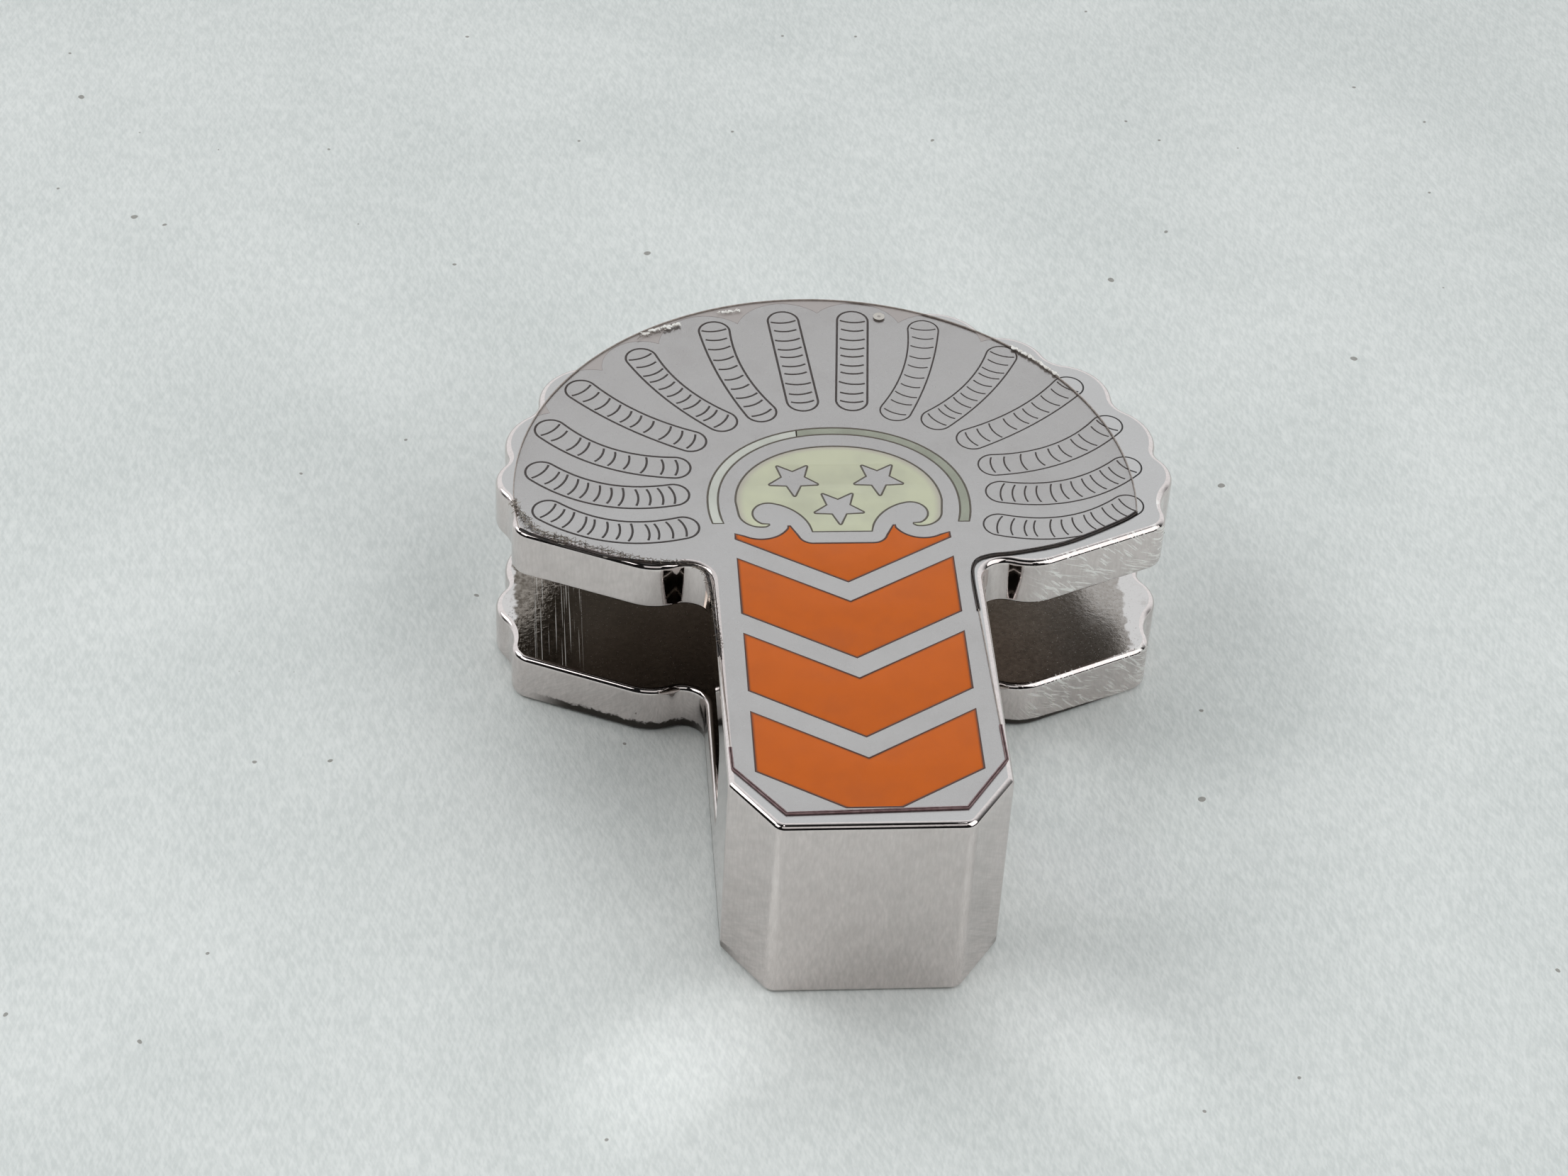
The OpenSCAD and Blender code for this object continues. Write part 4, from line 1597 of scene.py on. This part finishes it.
def speck_tree():
    """Flattened drops along a curve."""
    t = Steps("specks", {"Count": "Int", "Spread": "Float", "Speck": "Float", "Seed": "Int",
                         "Material": "Material"})
    drop = t.add("GeometryNodeMeshIcoSphere", None, {"Radius": t.given("Speck"), "Subdivisions": 2})
    size = t.random_vector(*SPECK_SIZES, SPECK_SIZE_SEED)
    turn = t.random(0.0, FULL_TURN, SPECK_TURN_SEED)
    return t.finish(t.strewn(scatter(t), drop, turn, size))


FLUFF, SPECKS = fibre_tree(), speck_tree()
print("nodes in the trees:", len(FLUFF.nodes), "and", len(SPECKS.nodes))


# %% Dirt and glue
def near(*points):
    """Rough path near the film's edge."""
    return [np.array(p, float) for p in points]


BROWN_DIRT = dusty_edge("brown_dirt", rgb(78, 66, 56), rgb(136, 124, 112))
PALE_FIBRE = dusty_edge("pale_fibre", rgb(150, 142, 130), rgb(190, 184, 174))
GLUE = dusty_edge("glue", rgb(252, 251, 246), rgb(232, 229, 222))
DIRT_Z = TOP_Z + 0.13
FIBRE_DEPTH = 0.02
LEFT_CORNER = near((-17.5, -1.8), (-17.2, -2.9), (-16.6, -3.85), (-15.8, -4.65), (-14.7, -5.3))
LEFT_MIDDLE = near((-15.4, -4.8), (-13.2, -5.8), (-11.4, -6.5))
LEFT_NOTCH = near((-11.4, -6.5), (-9.9, -6.9), (-8.4, -7.0), (-7.6, -7.7))
LEFT_STEM = near((-7.6, -7.7), (-7.3, -9.3), (-7.15, -11.8), (-7.05, -13.5))
BACK_FLUFF = near((-10.2, 12.1), (-7.9, 13.2))
BACK_GLUE = near((-9.9, 12.4), (-7.9, 13.25))
MIDDLE_GLUE = near((-5.6, 14.25), (-4.4, 14.5))
RIGHT_GLUE = near((10.75, 11.06), (11.95, 9.87), (13.1, 8.45))
# Fluff: path, number, spread, length of a fibre, its width, seed and finish
FLUFFS = [
    (LEFT_CORNER, 52, 0.18, 0.55, 0.026, 1, BROWN_DIRT),
    (LEFT_CORNER, 44, 0.24, 0.50, 0.028, 9, PALE_FIBRE),
    (LEFT_MIDDLE, 70, 0.13, 0.45, 0.026, 2, BROWN_DIRT),
    (LEFT_NOTCH, 46, 0.09, 0.40, 0.024, 10, BROWN_DIRT),
    (LEFT_STEM, 44, 0.09, 0.36, 0.024, 3, BROWN_DIRT),
    (BACK_FLUFF, 22, 0.12, 0.4, 0.022, 4, BROWN_DIRT),
]
# Specks: path, number, spread, size, seed and finish
DROPS = [
    (BACK_GLUE, 34, 0.14, 0.13, 5, GLUE),
    (RIGHT_GLUE, 34, 0.04, 0.13, 6, GLUE),
    (MIDDLE_GLUE, 16, 0.10, 0.10, 7, GLUE),
    (LEFT_CORNER, 26, 0.24, 0.055, 8, BROWN_DIRT),
]


# %% Strewing the dirt
def fluff(points, count, spread, fibre, width, seed, material):
    """Fibres strewn along a path."""
    return grow(FLUFF, path("fluff", points, DIRT_Z), {
        "Count": count, "Spread": spread * MM, "Fibre": fibre * MM, "Line Width": width * MM,
        "Line Depth": FIBRE_DEPTH * MM, "Seed": seed, "Material": material})


def specks(points, count, spread, speck, seed, material):
    """Flattened drops strewn along a path."""
    return grow(SPECKS, path("specks", points, DIRT_Z), {
        "Count": count, "Spread": spread * MM, "Speck": speck * MM, "Seed": seed, "Material": material})


dirt = joined([*(fluff(*row) for row in FLUFFS), *(specks(*row) for row in DROPS)], "film_dirt")
print("dirt:", len(dirt.data.polygons), "faces")

# %% [markdown]
# Bubble.
# One small bubble was caught under the film at the back. From above it is a pale ring
# round a darker middle, where the film touches the metal again. A raised film would need
# a much finer mesh, so a flat disc in two tones stands for it, which looks the same.

# %% Bubble
BUBBLE_AT, BUBBLE_R = (3.50, 13.88), 0.33
BUBBLE_T = 0.012
BUBBLE_POINTS = 24
BUBBLE_TOP = FILM_Z + FILM_T
BUBBLE_PALE, BUBBLE_DARK = rgb(203, 198, 190), rgb(156, 150, 144)
# Distance from the middle at which the dark tone starts and is full, and its unevenness
MIDDLE_R = (0.16, 0.10)
MIDDLE_UNEVEN = 0.06


def bubble_skin():
    """Pale where the film stands off the metal, darker where it touches again in the middle."""
    f = Finish("bubble_skin")
    x, y, z = f.plan()
    reach = f.reach(x - BUBBLE_AT[0], y - BUBBLE_AT[1])
    middle = f.between(reach + f.noise(size=0.2) * MIDDLE_UNEVEN, *MIDDLE_R)
    return f.surface(Base_Color=f.mix(middle, BUBBLE_PALE, BUBBLE_DARK), Roughness=0.35)


ring = [polar(BUBBLE_AT, BUBBLE_R, 360 * i / BUBBLE_POINTS) for i in range(BUBBLE_POINTS)]
bubble = filled("film_bubble", [ring], BUBBLE_TOP - BUBBLE_T / 2, BUBBLE_TOP + BUBBLE_T / 2)
bubble.data.materials.append(bubble_skin())
print("bubble:", len(bubble.data.polygons), "faces")

# %% [markdown]
# Paper floor.
# The ring lies on matt paper whose fine fibres lie nearly one way. One square is enough
# for it, because all that shows is in its finish: a soft mottle, wide clouds, fibres
# drawn out by stretching the noise, and a few dark specks. The same noises raise it.

# %% Paper floor
PAPER_PALE = rgb(244, 248, 246)
PAPER_DIM = rgb(217, 223, 221)
PAPER_SPECK = rgb(120, 114, 106)
PAPER_MOTTLE = dict(size=0.6, detail=3.0, roughness=0.6)
PAPER_FIBRE = dict(size=0.17, detail=2.0, stretch=(1, 8, 1))
FIBRE_TURNS = (-14, 6, 26)
PAPER_MARKS = {
    "cloud": ((0.3, 0.7), dict(size=14, detail=2.0)),
    "specks": ((0.869, 0.880), dict(size=1.0, detail=0.0)),
}
MOTTLE_LEVELS = (0.3, 0.7)
FIBRE_LEVELS = (0.40, 0.60)
PAPER_DIMS = {"mottle": 0.25, "fibres": 0.45, "cloud": 0.30}
SPECK_SHARE = 0.7
MOTTLE_RAISES = 0.4
FLOOR_HALF = 0.6


def paper():
    """Matt paper: fine fibres that lie nearly one way, a soft mottle and a few dark specks."""
    f = Finish("paper")
    mottle = f.noise(**PAPER_MOTTLE)
    turned = [f.noise(**PAPER_FIBRE, lean=(0, 0, turn)) for turn in FIBRE_TURNS]
    fibres = sum(turned) * (1 / len(turned))
    marks = f.marks(PAPER_MARKS)
    marks |= {"mottle": f.between(mottle, *MOTTLE_LEVELS), "fibres": f.between(fibres, *FIBRE_LEVELS)}
    color = f.mix(weighed(marks, PAPER_DIMS).clamp(), PAPER_PALE, PAPER_DIM)
    color = f.mix(marks["specks"] * SPECK_SHARE, color, PAPER_SPECK)
    normal = f.bump(mottle * MOTTLE_RAISES + fibres, strength=0.6, depth=0.08)
    return f.surface(Base_Color=color, Roughness=0.9, Normal=normal)


mesh = bpy.data.meshes.new("paper_floor")
corners = [(-FLOOR_HALF, -FLOOR_HALF, 0), (FLOOR_HALF, -FLOOR_HALF, 0), (FLOOR_HALF, FLOOR_HALF, 0),
           (-FLOOR_HALF, FLOOR_HALF, 0)]
mesh.from_pydata(corners, [], [(0, 1, 2, 3)])
floor = new_object("paper_floor", mesh)
floor.data.materials.append(paper())
print("paper:", 2 * FLOOR_HALF, "m square")

# %% [markdown]
# Light.
# A large soft window at the front right draws the white lines on the rounded front
# edges, and a box at the left draws those on that side. Two weak fills keep the front
# walls from going black. All four are square area lights, because polished metal shows
# the shape of a light, and a soft square reads as a window.

# %% Light
# Soft boxes: name, azimuth, elevation, size in metres and power in watts
SOFT_BOXES = [
    ("front_right_window", 62, 43, 0.38, 0.71),
    ("front_fill", -7, 48, 0.18, 0.07),
    ("left_front_fill", -65, 45, 0.18, 0.21),
    ("left_box", -106, 42, 0.19, 0.32),
]
BOX_AWAY = 0.40


def soft_box(name, azimuth, elevation, size, power):
    """Square soft light that looks at the ring. Azimuth 0 is in front of it, 90 on its right."""
    a, e = math.radians(azimuth), math.radians(elevation)
    data = bpy.data.lights.new(name, "AREA")
    data.shape, data.size, data.energy = "SQUARE", size, power
    light = new_object(name, data)
    back = Vector((math.sin(a) * math.cos(e), -math.cos(a) * math.cos(e), math.sin(e)))
    light.location = back * BOX_AWAY
    light.rotation_euler = back.to_track_quat("Z", "Y").to_euler()


for box in SOFT_BOXES:
    soft_box(*box)
print("soft boxes:", len(SOFT_BOXES))

# %% [markdown]
# Light that the walls throw.
# Polished walls throw pale arches of light on the paper in front of them. A path tracer
# can find such light, but only with very many samples, so here narrow spots shine
# straight down on the paper. They fade to nothing at their rims and fall along the
# upright walls, so they hardly light the ring.

# %% Glows on the paper
GLOW_HEIGHT = 30
# Radius of a spot's source in metres
GLOW_SOURCE = 0.001
# Spots: plan x, y, opening and power in watts
PAPER_GLOWS = [
    (-5.6, -29.0, 20, 0.0012), (-8.9, -30.4, 20, 0.0030), (-11.9, -32.8, 20, 0.0028),
    (-14.2, -36.0, 20, 0.0014), (7.2, -28.0, 18, 0.0010), (10.2, -29.6, 20, 0.0022),
    (13.2, -32.2, 20, 0.0020), (15.2, -35.4, 20, 0.0010), (13.5, -15.0, 36, 0.0042),
    (-12.5, -18.5, 28, 0.0016), (11.8, -11.2, 18, 0.0032),
]


def paper_glow(number, x, y, opening, power):
    """Narrow soft spot straight above the paper."""
    name = f"paper_glow_{number}"
    data = bpy.data.lights.new(name, "SPOT")
    data.energy, data.spot_size, data.spot_blend = power, math.radians(opening), 1.0
    data.shadow_soft_size = GLOW_SOURCE
    light = new_object(name, data)
    light.location = at((x, y), GLOW_HEIGHT)


for number, glow in enumerate(PAPER_GLOWS):
    paper_glow(number, *glow)
print("glows on the paper:", len(PAPER_GLOWS))

# %% [markdown]
# Surround.
# Polished metal is mostly the picture of what stands round it. A room that is bright
# behind the ring and dark above and in front of it gives the pale face and the darker
# front walls. A smooth step along one axis makes that room without a single object.

# %% Surround
ROOM_DARK, ROOM_BRIGHT = 0.01, 1.03
ROOM_TINT = (0.96, 0.985, 1.0, 1)
# Where the room starts to get brighter and where it is full: sine of the angle towards the back
ROOM_STEP = (-0.02, 0.60)


def pale_room():
    """Surround that is bright behind the ring and dark above and in front of it."""
    world = bpy.data.worlds.new("pale_room")
    world.use_nodes = True
    nodes, links = world.node_tree.nodes, world.node_tree.links
    way = nodes.new("ShaderNodeTexCoord")
    parts = nodes.new("ShaderNodeSeparateXYZ")
    ramp = nodes.new("ShaderNodeMapRange")
    ramp.interpolation_type = "SMOOTHSTEP"
    levels = zip(("From Min", "From Max", "To Min", "To Max"), (*ROOM_STEP, ROOM_DARK, ROOM_BRIGHT))
    for key, value in levels:
        ramp.inputs[key].default_value = value
    links.new(way.outputs["Generated"], parts.inputs[0])
    links.new(parts.outputs["Y"], ramp.inputs["Value"])
    links.new(ramp.outputs[0], nodes["Background"].inputs["Strength"])
    nodes["Background"].inputs["Color"].default_value = ROOM_TINT
    return world


bpy.context.scene.world = pale_room()
bpy.context.scene.view_settings.view_transform = "Standard"
print("surround:", bpy.context.scene.world.name)

# %% [markdown]
# Camera.
# The view looks down at the ring from the front, a little from the left, through a long
# lens. Its place and its three angles give it fully. The axes are worked out from the
# angles, because three vectors in a matrix leave no doubt about the order of turns.

# %% Camera
LENS, SENSOR = 92.86, 36
CAMERA_AT = np.array([-20.277, -166.430, 153.206])
AZIMUTH, ELEVATION, ROLL = 6.11, 41.73, 3.44
CLIP = (0.01, 10)


def camera_axes():
    """Right, up and back of the camera, from its azimuth, its elevation and its roll."""
    a, e, r = (math.radians(v) for v in (AZIMUTH, ELEVATION, ROLL))
    look = Vector((math.sin(a) * math.cos(e), math.cos(a) * math.cos(e), -math.sin(e)))
    level = Vector((math.cos(a), -math.sin(a), 0))
    rise = level.cross(look)
    right = level * math.cos(r) + rise * math.sin(r)
    up = rise * math.cos(r) - level * math.sin(r)
    return right, up, -look


camera = new_object("camera", bpy.data.cameras.new("camera"))
camera.data.lens, camera.data.sensor_width = LENS, SENSOR
camera.data.clip_start, camera.data.clip_end = CLIP
turn = Matrix(camera_axes()).transposed().to_4x4()
camera.matrix_world = Matrix.Translation(at(CAMERA_AT[:2], CAMERA_AT[2])) @ turn
bpy.context.scene.camera = camera
print("camera at", [round(v, 4) for v in camera.matrix_world.translation])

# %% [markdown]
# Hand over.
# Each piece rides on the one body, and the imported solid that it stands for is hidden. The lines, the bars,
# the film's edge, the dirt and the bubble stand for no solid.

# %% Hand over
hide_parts("clip_body")
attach(body, "root")
for line_piece in (cell_lines, bars):
    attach(line_piece, "root")
for name, piece in enamels.items():
    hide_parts(name)
    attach(piece, "root")
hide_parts("protective_film")
for sheet_piece in (film, film_edge, dirt, bubble):
    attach(sheet_piece, "root")
